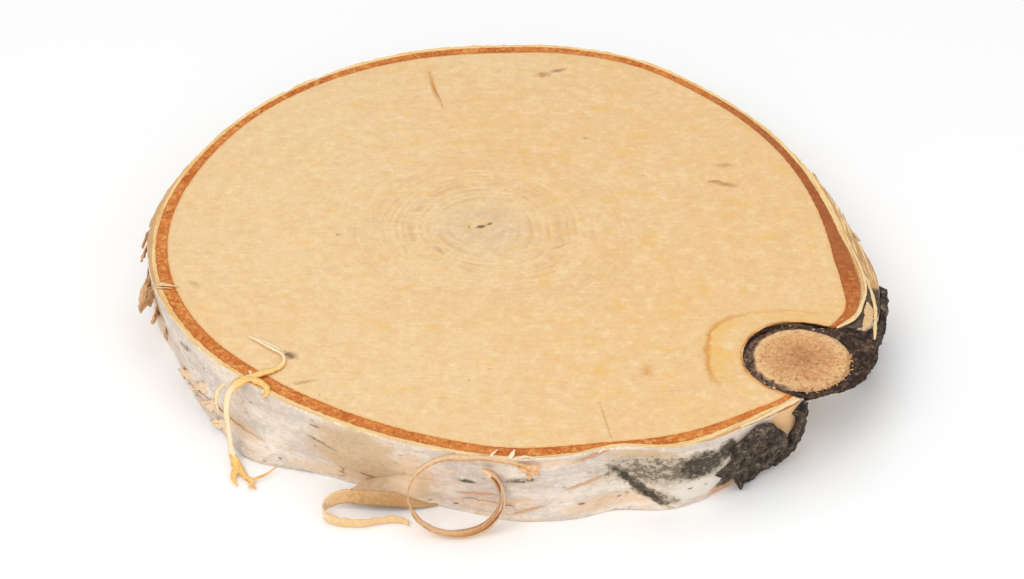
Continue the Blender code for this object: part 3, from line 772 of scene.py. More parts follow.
def makeWood():
    degrees = evenTurns(wood["columns"])
    shares = np.linspace(0, 1, wood["rings"] + 1)[1:]
    rows = [polar(degrees, woodEdge(degrees, top) * share, top) for share in shares]
    rows[-1][:, 2] -= wood["eased"]
    heights = np.linspace(top - 1, 0.4, wood["sideRows"])
    rows += [polar(degrees, woodEdge(degrees, height), height) for height in heights]
    rows += [polar(degrees, woodEdge(degrees, 0) * share, 0) for share in shares[::-6]]
    made = newPiece("sawnFace", *discSpots(rows, [0, 0, top], [0, 0, 0]))
    cutAway(made, bay, crackCutter())
    spots = spotsOf(made)

    pith = np.array(stem["pith"])
    degrees = np.arange(0, 360, 1.0)
    outline = polar(degrees, woodRadius(degrees), 0)[:, :2] - pith
    bearing = np.radians(turnOf(outline))
    order = np.argsort(bearing)
    offset = spots[:, :2] - pith
    reach = np.interp(
        np.radians(turnOf(offset)), bearing[order], reachOf(outline)[order], period=2 * math.pi)

    dx = (spots[:, 0] - knotHalo["middle"][0]) / knotHalo["wide"]
    dy = (spots[:, 1] - knotHalo["middle"][1]) / knotHalo["deep"]
    corner = knotHalo["corner"]
    size = (np.abs(dx) ** corner + np.abs(dy) ** corner) ** (1 / corner)
    shown = (1 - ease(dx, 0.1, 0.8)) * ease(dy, -0.8, -0.2) * ease(spots[:, 2], 20, 26)
    knot = spots[:, :2] - branchMiddle(top)
    keepValues(
        made, ringPlace=reachOf(offset) / reach * 120, haloPlace=(size - 1) * knotHalo["reach"],
        haloShow=shown * (0.35 + 0.65 * (1 - ease(dx, -1.0, -0.3))),
        edgePlace=woodEdge(turnOf(spots), spots[:, 2]) - reachOf(spots),
        knotPlace=reachOf(knot) - branchBarkEdge(turnOf(knot), float(top)))
    dressPiece(made, looks["wood"], "sawn_wood", "wood")


makeWood()
print("wood made")

innerBark = {"columns": 1300, "topRows": 9, "grain": 0.3, "sunk": 0.1, "under": 0.15}


def makeInnerBarkRing():
    degrees = evenTurns(innerBark["columns"])
    under = innerBark["under"]
    rows = []
    for share in np.linspace(0, 1, innerBark["topRows"]):
        radius = woodEdge(degrees, top) - under + (innerBarkWidth(degrees) + under) * share
        spots = polar(degrees, radius, top - innerBark["sunk"])
        grain = flatNoise(spots, 1.0, 3.3) + 0.5 * flatNoise(spots, 3, 8.1)
        spots[:, 2] += innerBark["grain"] * grain * math.sin(math.pi * min(max(share, 0.02), 0.98)) ** 0.5
        rows.append(spots)
    rows += [polar(degrees, innerEdge(degrees, height), height) for height in (26.4, 14.0, 0.4)]
    rows += [polar(degrees, innerEdge(degrees, 0) - 0.4, 0.0), polar(degrees, woodEdge(degrees, 0), 0.0)]
    rows += [polar(degrees, woodEdge(degrees, height) - under, height) for height in (0.6, 14.0, 26.2)]
    made = newPiece("orangeBark", np.concatenate(rows), gridFaces(len(rows), len(degrees), True), 60)
    cutAway(made, bay)
    spots = spotsOf(made)
    degrees = turnOf(spots)
    share = (reachOf(spots) - woodEdge(degrees, spots[:, 2])) / innerBarkWidth(degrees)
    keepValues(made, bandShare=np.clip(share, 0, 1))
    dressPiece(made, looks["innerBark"], "inner_bark", "inner_bark")


makeInnerBarkRing()
print("inner bark made")

# patches on the wall: kind, degrees, height, half width in degrees, half height, slope in mm per degree
wallPatches = [
    ("lichen", -67, 17.5, 10, 7, 0.0), ("black", -61, 17, 4.2, 6.5, 0.0), ("black", -57, 20, 1.8, 5, 0.0),
    ("black", -70, 10.5, 4.6, 2.6, -2.1), ("lichen", -68, 7, 4, 3, -1.0), ("white", -61, 6.2, 4.8, 3.6, 0.0),
    ("black", -56.5, 4.4, 1.8, 2.4, 0.0), ("orange", -56.6, 3.2, 3.2, 4.2, 0.8),
    ("bare", -47, 20.5, 4.4, 8, 0.0), ("bare", -44.3, 5, 3.2, 4.4, 0.0),
    ("black", -96.3, 15, 1.7, 0.9, 0.0), ("lichen", -88, 18, 2.8, 1.2, 0.2),
    ("orange", -94.5, 9.6, 4.2, 0.9, 0.35), ("peach", -93, 6.5, 7, 2.6, 0.4),
    ("orange", -87, 5, 3.2, 0.9, 0.7), ("orange", -78.5, 14.5, 3.6, 0.9, 0.5),
    ("lichen", -122, 16, 2.2, 0.8, -0.5),
    ("lichen", -119.6, 14.4, 1.2, 0.5, -0.4), ("tan", -115, 16, 9, 14, 0.0), ("tan", -109, 8, 9, 7, 0.0),
    ("peach", -105, 13, 3.4, 10, 0.0), ("peach", -138, 8, 7, 2.6, 0.0),
    ("peach", -154, 7, 8, 5, 0.0), ("orange", -150, 4.5, 5, 1.4, 0.3), ("peach", -84, 24.5, 7, 1.6, 0.0),
    ("tan", -70, 24.5, 5, 2, 0.0), ("orange", -77, 25.4, 3.4, 1.0, 0.4), ("peach", -118, 4, 10, 2.6, 0.1),
    ("peach", -75, 5, 8, 3.6, 0.2), ("lichen", -152, 21, 2.4, 1.6, 0.6), ("tan", -167, 13, 4, 9, 0.0),
    ("black", -8.6, 22, 2.4, 4.6, 0.0), ("lichen", -24, 22, 4, 5, 0.0), ("black", -18, 16, 5, 7, 0.0),
    ("white", -13, 22, 3, 4, 0.0), ("black", 5, 14, 3, 8, 0.0), ("peach", 24, 12, 9, 6, 0.3),
    ("lichen", 44, 9, 6, 6, 0.0), ("tan", 58, 19, 9, 6, 0.0), ("black", 71, 8, 4, 1.0, 0.0),
    ("peach", 92, 15, 11, 5, -0.2), ("black", 112, 20, 6, 0.9, 0.0), ("lichen", 124, 8, 8, 5, 0.0),
    ("tan", 146, 12, 8, 9, 0.0), ("black", 152, 18, 3, 1.2, 0.0), ("peach", 170, 16, 7, 8, 0.0),
    ("orange", 168, 8, 5, 2, 0.3), ("tan", 186, 18, 6, 8, 0.0), ("orange", 190, 10, 4, 3, 0.0),
    ("peach", -169, 9, 6, 5, 0.0),
]
patchKinds = ("lichen", "black", "white", "orange", "peach", "tan", "bare")


def patchLevels(degrees, height):
    levels = {kind + "Patch": np.zeros(np.shape(degrees)) for kind in patchKinds}
    for kind, at, middle, wide, tall, slope in wallPatches:
        turn = (degrees - at + 180) % 360 - 180
        up = height - middle - slope * turn
        far = np.sqrt((turn / wide) ** 2 + (up / tall) ** 2)
        levels[kind + "Patch"] = np.maximum(levels[kind + "Patch"], 1 - ease(far, 0.45, 1.35))
    return levels


paper = {"columns": 1240, "wallRows": 42, "wrinkle": 0.16, "ragged": 0.7, "under": 0.12, "girth": 125}


def between(degrees, start, full, fading, gone):
    turn = degrees % 360
    return ease(turn, start, full) * (1 - ease(turn, fading, gone))


def rimDarkness(degrees, spots):  # the cut top of the outer bark is dark beside the branch, tan before it
    across = reachOf(spots) - innerEdge(degrees, top) + 0.5 * flatNoise(spots, 2.4, 3.1)
    front = 0.5 * between(degrees, 298, 303, 325, 327) * ease(across, 1.1, 1.6)
    left = 0.42 * between(degrees, 156, 164, 192, 204) * ease(across, 0.5, 1.1)
    side = between(degrees, 331, 334, 343, 348) * ease(across, 0.9, 1.3)
    return np.maximum(side, np.maximum(front, left))


def makePaperRing():
    degrees = evenTurns(paper["columns"])
    ring = polar(degrees, paper["girth"], 0.0)
    lip = top + 0.15 + 0.45 * (flatNoise(ring, 4, 1.7) + 0.6 * flatNoise(ring, 1.3, 5.2))
    torn = flatNoise(ring, 6, 9.4) + 0.7 * flatNoise(ring, 1.8, 2.2)
    tearing = 0.25 + 0.75 * bump(degrees, 206, 9) + 0.5 * bump(degrees, 238, 9)
    hem = np.clip(paper["ragged"] * (0.2 + torn) * tearing, 0, 1.6)
    rows = []
    for share in np.linspace(0, 1, paper["wallRows"]):
        height = lip * (1 - share) + hem * share
        levels = patchLevels(degrees, height)
        wrinkle = flatNoise(ring, 16, height / 1.1) + 0.5 * flatNoise(ring, 7, height / 0.7 + 40)
        relief = paper["wrinkle"] * wrinkle
        relief -= 0.4 * ease(levels["peachPatch"], 0.3, 0.6) + 0.5 * ease(levels["orangePatch"], 0.3, 0.6)
        crusted = levels["lichenPatch"] + levels["blackPatch"]
        relief += 0.5 * crusted * (0.3 + flatNoise(ring, 1.4, height / 1.4 + 9))
        edgeIn = 0.25 * (ease(share, 0.96, 1.0) + 1 - ease(share, 0.0, 0.03))
        rows.append(polar(degrees, barkEdge(degrees, height) + relief - edgeIn, height))
    outer, foot = reachOf(rows[0]), reachOf(rows[-1])
    under = paper["under"]
    for share in (0.35, 0.75):
        radius = foot * (1 - share) + (innerEdge(degrees, 0) - under) * share
        rows.append(polar(degrees, radius, hem * (1 - share) + 0.3 * share))
    rows += [polar(degrees, innerEdge(degrees, height) - under, height) for height in (0.6, 14.0, 26.0)]
    lumpy = between(degrees, 331, 334, 343, 348)
    for share in np.linspace(0, 0.94, 11):
        radius = (innerEdge(degrees, top) - under) * (1 - share) + outer * share
        height = (top - 0.12) * (1 - share) + (lip + 0.05) * share + 0.1 * flatNoise(ring, 2, share * 3)
        lumps = flatNoise(polar(degrees, radius, 0.0), 1.6, 4.4)
        rows.append(polar(degrees, radius, height + 0.8 * lumps * lumpy * math.sin(math.pi * share)))
    made = newPiece("paperBark", np.concatenate(rows), gridFaces(len(rows), len(degrees), True), 50)
    cutAway(made, bay)
    spots = spotsOf(made)
    degrees, height = turnOf(spots), spots[:, 2]
    inward = barkEdge(degrees, height) - reachOf(spots)
    onTop = ease(height, top - 0.9, top - 0.5) + 1 - ease(height, 0.0, 1.0)
    keepValues(
        made, **patchLevels(degrees, height), cutFace=np.clip(onTop, 0, 1) * ease(inward, 0.05, 0.45),
        rimDark=rimDarkness(degrees, spots), rimAcross=reachOf(spots) - innerEdge(degrees, top))
    dressPiece(made, looks["paper"], "paper_bark", "outer_bark")


makePaperRing()
print("paper bark made")

crustSkin = {"cell": 0.5, "lump": 0.9, "grit": 0.3, "pits": 0.3, "highest": 27.6}


def roughCopy(name, node):  # the CAD plate with a finer, rougher skin
    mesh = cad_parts[node].data.copy()
    bm = bmesh.new()
    bm.from_mesh(mesh)
    bmesh.ops.remove_doubles(bm, verts=bm.verts, dist=1e-6)
    bm.to_mesh(mesh)
    bm.free()
    obj = newObject(name, mesh)
    remesh = obj.modifiers.new("Skin", "REMESH")
    remesh.mode = "VOXEL"
    remesh.voxel_size = crustSkin["cell"] * mm
    settle(obj)
    spots = spotsOf(obj)
    normals = np.zeros(len(spots) * 3)
    obj.data.vertices.foreach_get("normal", normals)
    push = crustSkin["lump"] * noiseOf(*(spots / 3.1).T) + crustSkin["grit"] * noiseOf(*(spots / 1.1 + 30).T)
    push -= crustSkin["pits"] * np.clip(np.abs(noiseOf(*(spots / 2.2 + 9).T)) * -6 + 1, 0, 1)
    spots += normals.reshape(-1, 3) * push[:, None]
    spots[:, 2] = np.clip(spots[:, 2], 0.2, crustSkin["highest"])
    obj.data.vertices.foreach_set("co", (spots * mm).ravel())
    obj.data.update()
    if "sharp_edge" in obj.data.attributes:
        obj.data.attributes.remove(obj.data.attributes["sharp_edge"])
    obj.data.shade_smooth()
    dressPiece(obj, looks["crust"], "bark_crust", node)


roughCopy("crustPlateFront", "crust_front")
roughCopy("crustPlateSide", "crust_side")
print("crust made")

stub = {"columns": 220, "rings": 34, "sideRows": 5, "torn": 0.35, "frayedAt": -50}
sleeve = {
    "columns": 260, "wallRows": 30, "rimRows": 10, "boreRows": 12, "under": 0.25, "shallow": 0.7,
    "girth": 24}


def inwardShare(degrees, full):  # 1 on the branch's inner side, 0 on its outer side
    return 1 - ease(np.cos(np.radians(degrees) - math.radians(branch["outward"])), -0.15, full)


def makeStub():
    degrees = evenTurns(stub["columns"])
    middle = branchMiddle(top)
    ragged = 0.4 * flatNoise(polar(degrees, 4, 0.0), 1, 4.4) - 0.2
    wander = 0.035 * flatNoise(polar(degrees, 9, 0.0), 1, 2.4)
    inside = inwardShare(degrees, 0.5)
    fraying = ease(np.cos(np.radians(degrees) - math.radians(stub["frayedAt"])), 0.1, 0.8)
    rows, bark = [], []
    for share in np.linspace(0, 1, stub["rings"] + 1)[1:]:
        bark.append(ease(share + wander, 0.91, 0.95) * (0.25 + 0.75 * inside))
        spots = polar(degrees, (stubEdge(top) + ragged) * share, float(top), middle)
        torn = flatNoise(spots, 1.1, 6.1) + 0.5 * flatNoise(spots, 3.4, 1.1)
        frayed = 1 + 1.6 * ease(share, 0.78, 0.98) * fraying
        spots[:, 2] += stub["torn"] * (torn - 0.25) * frayed - (0.4 + 0.9 * inside) * ease(share, 0.9, 1.0)
        rows.append(spots)
    for height in np.linspace(top - 1.6, 0.4, stub["sideRows"]):
        rows.append(polar(degrees, stubEdge(height) + ragged * 0.5, height, branchMiddle(height)))
    foot = branchMiddle(0)
    rows += [polar(degrees, stubEdge(0) * share, 0.0, foot) for share in (0.99, 0.66, 0.33)]
    made = newPiece("branchWood", *discSpots(rows, [*middle, top - 0.1], [*foot, 0]), 60)
    bark += [np.ones(stub["columns"])] * (len(rows) - len(bark))
    keepValues(made, edgeBark=np.concatenate([*bark, [0, 0]]))
    dressPiece(made, looks["stub"], "branch_wood", "branch_stub")


def makeBranchSleeve():
    degrees = evenTurns(sleeve["columns"])
    inside = inwardShare(degrees, 0.35)
    outside = 1 - inside
    back = ease(np.sin(np.radians(degrees)), 0.0, 0.55)
    crest = top - (sleeve["shallow"] + (branch["sunk"] - sleeve["shallow"]) * back) * inside
    ring = polar(degrees, sleeve["girth"], 0.0)
    rows = []
    for share in np.linspace(0, 1, sleeve["wallRows"]):
        height = crest * share
        rough = flatNoise(ring, 2.2, height / 2.2 + 4) + 0.6 * flatNoise(ring, 0.9, height / 0.9)
        radius = branchBarkEdge(degrees, height) + 0.6 * rough * outside * ease(height, 8, 16)
        rows.append(polar(degrees, radius, height, branchMiddle(height)))
    for share in np.linspace(0.06, 0.94, sleeve["rimRows"]):
        radius = branchBarkEdge(degrees, crest) * (1 - share) + (stubEdge(crest) + sleeve["under"]) * share
        lumps = flatNoise(polar(degrees, radius, 0.0), 1.5, 7.7)
        height = crest + (0.55 * lumps - 0.2) * (0.3 + outside) - 0.5 * outside * ease(share, 0.6, 1.0)
        rows.append(polar(degrees, radius, height, branchMiddle(crest)))
    for share in np.linspace(1, 0, sleeve["boreRows"]):
        height = (crest - 0.8) * share
        rows.append(polar(degrees, stubEdge(height) + sleeve["under"], height, branchMiddle(height)))
    made = newPiece("branchSleeve", np.concatenate(rows), gridFaces(len(rows), len(degrees), True), 60)
    none = np.zeros(len(degrees))
    keepValues(made, innerRing=np.concatenate([none] * 28 + [inside] * 14 + [none] * 10))
    dressPiece(made, looks["branchBark"], "branch_bark", "branch_bark")


makeStub()
makeBranchSleeve()
print("branch made")
for name in ("bay", "crackCutter"):
    bpy.data.objects.remove(bpy.data.objects[name])

geometry, materialIn = "NodeSocketGeometry", "NodeSocketMaterial"


def makePeelTree():  # thin sheets get ripples and a thickness
    tree, given, give = newGroup("peelTree", "GeometryNodeTree", {
        "sheet": geometry, "thickness": 0.0006, "ripple": 0.0004, "rippleSize": 0.004, "seed": 0.0,
        "material": materialIn}, {"peel": geometry})
    inputs = {
        "Vector": first(tree, "GeometryNodeInputPosition"), "W": given["seed"],
        "Scale": 1.0 / given["rippleSize"], "Detail": 2.0}
    wave = first(tree, "ShaderNodeTexNoise", inputs, noise_dimensions="4D")
    offset = first(tree, "GeometryNodeInputNormal") * ((wave - 0.5) * given["ripple"])
    rippled = first(tree, "GeometryNodeSetPosition", {"Geometry": given["sheet"], "Offset": offset})
    raised = first(tree, "GeometryNodeExtrudeMesh", {
        "Mesh": rippled, "Offset Scale": given["thickness"], "Individual": False}, mode="FACES")
    under = first(tree, "GeometryNodeFlipFaces", {"Mesh": rippled})
    joined = put(tree, "GeometryNodeJoinGeometry", {0: raised})
    tree.links.new(under.socket, joined.inputs[0])
    whole = Wire(tree, joined.outputs[0])
    welded = first(tree, "GeometryNodeMergeByDistance", {"Geometry": whole, "Distance": 1e-6})
    return give(peel=finishTree(tree, welded, given["material"]))


def finishTree(tree, made, material):
    smooth = first(tree, "GeometryNodeSetShadeSmooth", {"Geometry": made})
    real = first(tree, "GeometryNodeRealizeInstances", {"Geometry": smooth})
    return first(tree, "GeometryNodeSetMaterial", {"Geometry": real, "Material": material})


peelTree = makePeelTree()


def growWith(obj, tree, values):  # runs a node tree on an object and keeps the plain mesh
    grown = obj.modifiers.new("Grow", "NODES")
    grown.node_group = tree
    for item in tree.interface.items_tree:
        if item.item_type == "SOCKET" and item.in_out == "INPUT" and item.name in values:
            grown[item.identifier] = values[item.name]
    settle(obj)


def makePeel(name, sheets, look, slot, *nodes, thickness=0.6, ripple=0.5, size=4.0, seed=0.0):
    spots, faces, tints = [], [], []
    for lay, along, across, tint in sheets:
        grid = [(i / along, j / across) for i in range(along + 1) for j in range(across + 1)]
        faces += [[len(spots) + c for c in face] for face in gridFaces(along + 1, across + 1, False, False)]
        spots += [tuple(lay(u, v)) for u, v in grid]
        tints += [float(tint(u, v)) if callable(tint) else tint for u, v in grid]
    mesh = bpy.data.meshes.new(name)
    mesh.from_pydata((np.array(spots) * mm).tolist(), [], faces)
    obj = newObject(name, mesh)
    keepValues(obj, tint=tints)
    growWith(obj, peelTree, {
        "thickness": thickness * mm, "ripple": ripple * mm, "rippleSize": size * mm, "seed": seed,
        "material": looks[look]})
    dressPiece(obj, None, slot, *nodes)
    return obj


def easeTo(u, low, high):
    return float(ease(u, low, high))


def layRibbon(points, widths, facing=(0, 0, 1), seed=1.0):  # widths: pairs of place along and width
    path = smoothPath(points)
    places, sizes = zip(*widths)

    def lay(u, v):
        onward = path(min(u + 0.01, 1)) - path(max(u - 0.01, 0))
        normal = facing(u) if callable(facing) else Vector(facing)
        across = onward.cross(normal).normalized()
        wide = float(np.interp(u, places, sizes)) * (1 + 0.3 * ragged(u, seed, 0.05))
        return path(u) + across * (wide * (v - 0.5) + 0.12 * ragged(u, seed + 4, 0.04))

    return lay


hoop = {
    "middle": (-17, -127.4, 14.1), "halfWidth": 15.8, "up": (0, 4.3, 13.2), "from": 78, "to": 408,
    "inward": 0.12, "steps": 17, "strip": 4.2, "facing": (0, -0.79, 0.62),
    "tail": [(7.6, -125.6, 23.2), (4.2, -125.0, 25.4), (-1.5, -124.2, 26.7), (-7, -123.6, 27.3)],
    "outerFrom": 262, "outerTo": 412, "outerGrow": 0.1, "outerSteps": 9, "outerStrip": 3.0,
}


def hoopSpot(turn, grow=1.0):
    size = (1 - hoop["inward"] * (turn - hoop["from"]) / 360) * grow
    angle = math.radians(turn)
    reach = Vector((hoop["halfWidth"] * math.cos(angle) * size, 0, 0))
    return Vector(hoop["middle"]) + reach + Vector(hoop["up"]) * math.sin(angle) * size


def layHoopStrip(path, width, seed):
    facing = Vector(hoop["up"]).cross(Vector((1, 0, 0))).normalized()

    def lay(u, v):
        wide = width * (0.5 + 0.5 * easeTo(u, 0, 0.15)) * (1 + 0.22 * ragged(u, seed))
        wide *= 1 - 0.5 * easeTo(u, 0.93, 1.0)
        return path(u) + facing * (wide * (v - 0.5) + 0.25 * ragged(u, seed + 5, 0.08))

    return lay


def hoopSheets():
    ring = [hoopSpot(turn) for turn in np.linspace(hoop["from"], hoop["to"], hoop["steps"]).tolist()]
    outerRing = []
    for share in np.linspace(0, 1, hoop["outerSteps"]).tolist():
        grow = 1 + hoop["outerGrow"] * abs(math.sin(math.pi * share)) ** 0.5
        outerRing.append(hoopSpot(hoop["outerFrom"] + (hoop["outerTo"] - hoop["outerFrom"]) * share, grow))
    inner = layHoopStrip(smoothPath([*hoop["tail"], *ring]), hoop["strip"], 2.0)
    outer = layHoopStrip(smoothPath(outerRing), hoop["outerStrip"], 13.0)
    sheets = [
        (inner, 220, 4, lambda u, v: 0.25 + 0.6 * abs(2 * v - 1) ** 2 + 0.4 * easeTo(u, 0.6, 0.75)),
        (outer, 90, 4, lambda u, v: 0.15 + 0.5 * abs(2 * v - 1) ** 2),
    ]
    tornEnds = [  # the flared end beside the rim and the frayed inner tip: points, middle, widths, tint
        ([(3.4, -125.2, 25.6), (7.0, -125.8, 24.2), (10.6, -126.0, 22.4)], 0.5, 2.0, 3.0, 0.7),
        ([(5.4, -125.4, 24.8), (8.4, -125.4, 24.8), (11.0, -125.0, 25.6)], 0.5, 1.8, 2.0, 0.7),
        ([(5.6, -125.6, 24.6), (6.8, -126.0, 22.4), (7.0, -126.2, 20.4)], 0.5, 1.6, 1.8, 0.7),
        ([(-5.6, -126.4, 22.0), (-6.8, -126.0, 23.6), (-8.8, -126.0, 24.4)], 0.6, 1.8, 1.0, 0.4),
    ]
    for i, (points, middle, rootWide, wide, shade) in enumerate(tornEnds):
        widths = [(0, rootWide), (middle, wide), (1, 0.3)]
        sheets.append((layRibbon(points, widths, hoop["facing"], 30.0 + i), 14, 3, shade))
    return sheets


loop = {
    "path": [
        (-20.6, -116.0), (-31, -118.6), (-40, -119.8), (-49, -118.8), (-56, -118.2), (-60.6, -120.2),
        (-60.2, -124), (-55, -127), (-48, -127.4), (-42, -125.8), (-36, -125.2), (-32.6, -126.6)],
    "root": 6.4, "tip": 2.8, "raised": 2.6, "skirtTop": 12.0, "skirtDrop": 9.0, "skirtEnd": 0.36,
}


def loopEdges(u):  # the strip's lower and upper edge above the floor
    rootward = 1 - easeTo(u, 0, 0.18)
    low = 0.5 + loop["raised"] * easeTo(u, 0.02, 0.2) * (1 - easeTo(u, 0.3, 0.5))
    tall = loop["root"] + (loop["tip"] - loop["root"]) * easeTo(u, 0.25, 0.8)
    return low, low + tall * (1 - 0.93 * rootward) * (1 - 0.5 * easeTo(u, 0.94, 1.0))


def loopSheets():
    path = smoothPath([(x, y, 0) for x, y in loop["path"]])

    def lay(u, v):
        low, high = loopEdges(u)
        edge = 0.7 * ragged(u, 3.0) * v + 0.3 * ragged(u, 9.0, 0.015) * v
        return path(u) + Vector((0, 0.3 * ragged(u, 5.0, 0.1), low + (high - low + edge) * v))

    def laySkirt(u, v):  # bark that hangs from the wall to the strip's upper half
        share = loop["skirtEnd"] * u
        low, high = loopEdges(share)
        start = path(share) + Vector((0, 0, low + 0.7 * (high - low)))
        height = loop["skirtTop"] - loop["skirtDrop"] * easeTo(u, 0.3, 1.0) + 0.5 * ragged(u, 21.0, 0.08)
        end = wallSpot(math.degrees(math.atan2(start.y, start.x)), height, -0.5)
        reach = v * (1 - 0.9 * easeTo(u + 0.06 * ragged(v, 17.0, 0.3), 0.82, 1.0))
        sag = Vector((0, -0.4, -0.9)) * math.sin(math.pi * reach) * easeTo(u, 0.05, 0.3)
        return start.lerp(end, reach) + sag

    def tint(u, v):
        return 0.95 - 0.5 * easeTo(u, 0.2, 0.42) - 0.3 * easeTo(u, 0.36, 0.46) * (1 - easeTo(u, 0.5, 0.62))

    return [(lay, 150, 6, tint)], [(laySkirt, 60, 8, 0.0)]


strand = {
    "path": [
        (-89, -61.5, 27.5), (-82, -67, 27.5), (-76, -72.6, 27.7), (-77, -78.4, 27.7),
        (-83, -82, 27.8), (-88.6, -85.6, 28.0), (-92.4, -89.6, 27.1), (-93.8, -92, 22),
        (-93.6, -92.8, 14), (-93.4, -93.4, 7), (-92.6, -95.6, 2.4), (-89.4, -101.4, 1),
        (-84, -109.6, 0.9)],
    "widths": [
        (0, 0.4), (0.08, 0.9), (0.18, 1.1), (0.28, 2.1), (0.4, 3.8), (0.5, 3.0), (0.62, 2.7), (0.78, 2.6),
        (0.85, 4.6), (0.93, 2.0), (1, 0.4)],
    "tints": [
        (0, -0.2), (0.16, 0.0), (0.28, 0.4), (0.42, 0.5), (0.52, 0.0), (0.8, -0.2), (0.86, 0.5), (1, 0.6)],
    "down": [(0.42, 0), (0.5, 1), (0.83, 1), (0.9, 0)],
    "outward": (-0.7, -0.72, 0.1),
}


def strandFacing(u):  # up on the face and the floor, outward on the wall
    share = float(np.interp(u, *zip(*strand["down"])))
    return Vector((0, 0, 1)).lerp(Vector(strand["outward"]), share)


def strandSheets():
    def tint(u, v):
        return float(np.interp(u, *zip(*strand["tints"]))) + 0.3 * abs(2 * v - 1) ** 3

    up = (0, 0, 1)
    extras = [  # the short curl at the rim, then the torn ends on the floor
        ([(-89.6, -84.2, 28.1), (-85.4, -85.2, 28.1), (-81.6, -87.6, 27.9), (-80.0, -90.4, 27.2),
          (-81.4, -92.2, 26.0)], [(0, 1.6), (0.4, 2.6), (0.8, 1.8), (1, 0.8)], 0.6, up),
        ([(-94.4, -86.6, 27.7), (-96.6, -89.2, 26.6), (-97.2, -90.6, 23), (-96.6, -91.4, 18)],
         [(0, 1.0), (0.4, 1.5), (1, 0.4)], 0.2, strand["outward"]),
        ([(-93.0, -94.6, 3.0), (-91.4, -99, 1.4), (-92, -104, 1.0), (-90.4, -108, 0.9)],
         [(0, 2.2), (0.5, 2.2), (1, 0.4)], 0.55, up),
        ([(-88.4, -103.4, 1.2), (-85.4, -106.4, 1.3), (-86.6, -109.4, 1.0)],
         [(0, 1.6), (0.5, 1.4), (1, 0.3)], 0.5, up),
        ([(-86.6, -106.0, 1.2), (-81.4, -103.4, 1.6), (-77.6, -100.4, 2.6)],
         [(0, 0.9), (0.5, 0.7), (1, 0.25)], 0.7, up),
    ]
    sheets = [(layRibbon(strand["path"], strand["widths"], strandFacing), 200, 4, tint)]
    for i, (points, widths, shade, facing) in enumerate(extras):
        sheets.append((layRibbon(points, widths, facing, 4.0 + i), 30, 3, shade))
    return sheets


loopStrip, loopSkirt = loopSheets()
makePeel("hoopPeel", hoopSheets(), "peach", "bark_curl", "curl_hoop", thickness=0.4, ripple=0.4, size=5)
makePeel(
    "loopPeel", loopStrip, "tanPeel", "bark_curl", "curl_loop", thickness=0.4, ripple=0.7, size=6, seed=2)
makePeel("strandPeel", strandSheets(), "yellow", "bark_strand", "curl_strand", thickness=0.4, size=4, seed=5)
print("curls made")

# thin extra threads that lie on the face and over the rim: points, width, tint
threads = [
    ([(-125.2, -31.6, 25.6), (-123.4, -32.2, 27.3), (-119.6, -33, 27.5), (-115.6, -33.9, 27.25)], 2.4, 0.8),
    ([(-126.4, -33.6, 24.0), (-124.4, -34.2, 27.0), (-121.6, -34.4, 27.4), (-117.6, -34.6, 27.2)], 1.2, 0.9),
    ([(-87.4, -61.8, 27.2), (-84.0, -64.6, 27.9), (-79.6, -67.6, 28.0), (-75.6, -70.6, 27.3)], 0.8, 0.1),
    ([(-87.0, -79.6, 27.3), (-86.0, -83.6, 28.0), (-89.0, -87.0, 27.6), (-91.0, -88.8, 24)], 1.4, 0.5),
    ([(-5.8, -122.8, 26.7), (-5.0, -122.0, 27.6), (-3.4, -120.2, 28.0)], 1.1, 0.1),
    ([(0.4, -123.4, 26.8), (1.4, -122.2, 27.8), (2.2, -120.4, 28.3)], 1.7, 0.0),
    ([(2.6, -123.6, 26.8), (5.6, -123.0, 27.5), (8.6, -123.8, 27.2)], 1.0, 0.2),
]
sheets = []
for i, (points, wide, shade) in enumerate(threads):
    widths = [(0, wide * 0.7), (0.4, wide), (1, 0.25)]
    sheets.append((layRibbon(points, widths, seed=3.0 + 2 * i), 24, 3, shade))
makePeel("paleThreads", sheets, "cream", "bark_strand", thickness=0.22, ripple=0.3, size=3, seed=9)

# pale edges of bark that run over the dark rim beside the branch: points, widths, tint
rimEdges = [
    ([(122.6, -10, 27.35), (125.0, -24, 27.45), (125.3, -35.5, 27.5), (123.3, -43, 27.5),
      (119.7, -51.6, 27.5), (112.9, -57.0, 27.4)], [(0, 0.6), (0.5, 1.1), (0.8, 1.6), (1, 0.7)], 0.6),
    ([(126.0, -28, 27.35), (126.9, -35.5, 27.5), (127.3, -46.7, 27.6), (126.0, -56.9, 27.6),
      (125.2, -63.0, 27.2)], [(0, 0.5), (0.4, 1.2), (0.8, 1.2), (1, 0.4)], 0.65),
    ([(125.0, -42.7, 27.3), (125.0, -46.7, 27.4), (124.3, -52.2, 27.4), (121.8, -58.4, 27.2)],
     [(0, 0.6), (0.4, 3.2), (0.8, 3.0), (1, 0.6)], 0.9),
    ([(76.0, -108.4, 27.3), (84.6, -103.2, 27.5), (91.6, -98.0, 27.6), (96.4, -94.8, 27.6)],
     [(0, 0.6), (0.4, 1.2), (0.8, 1.5), (1, 0.8)], 0.4),
]
sheets = []
for i, (points, widths, shade) in enumerate(rimEdges):
    sheets.append((layRibbon(points, widths, seed=40.0 + i), 40, 4, shade))
makePeel("rimEdges", sheets, "cream", "paper_bark", thickness=0.3, ripple=0.4, size=3, seed=31)

# the thin orange lip where the wood closed round the branch
knotLip = {"from": 96, "to": 262, "step": 3, "out": 0.3, "past": 1.0, "width": 0.7, "height": 26.94}


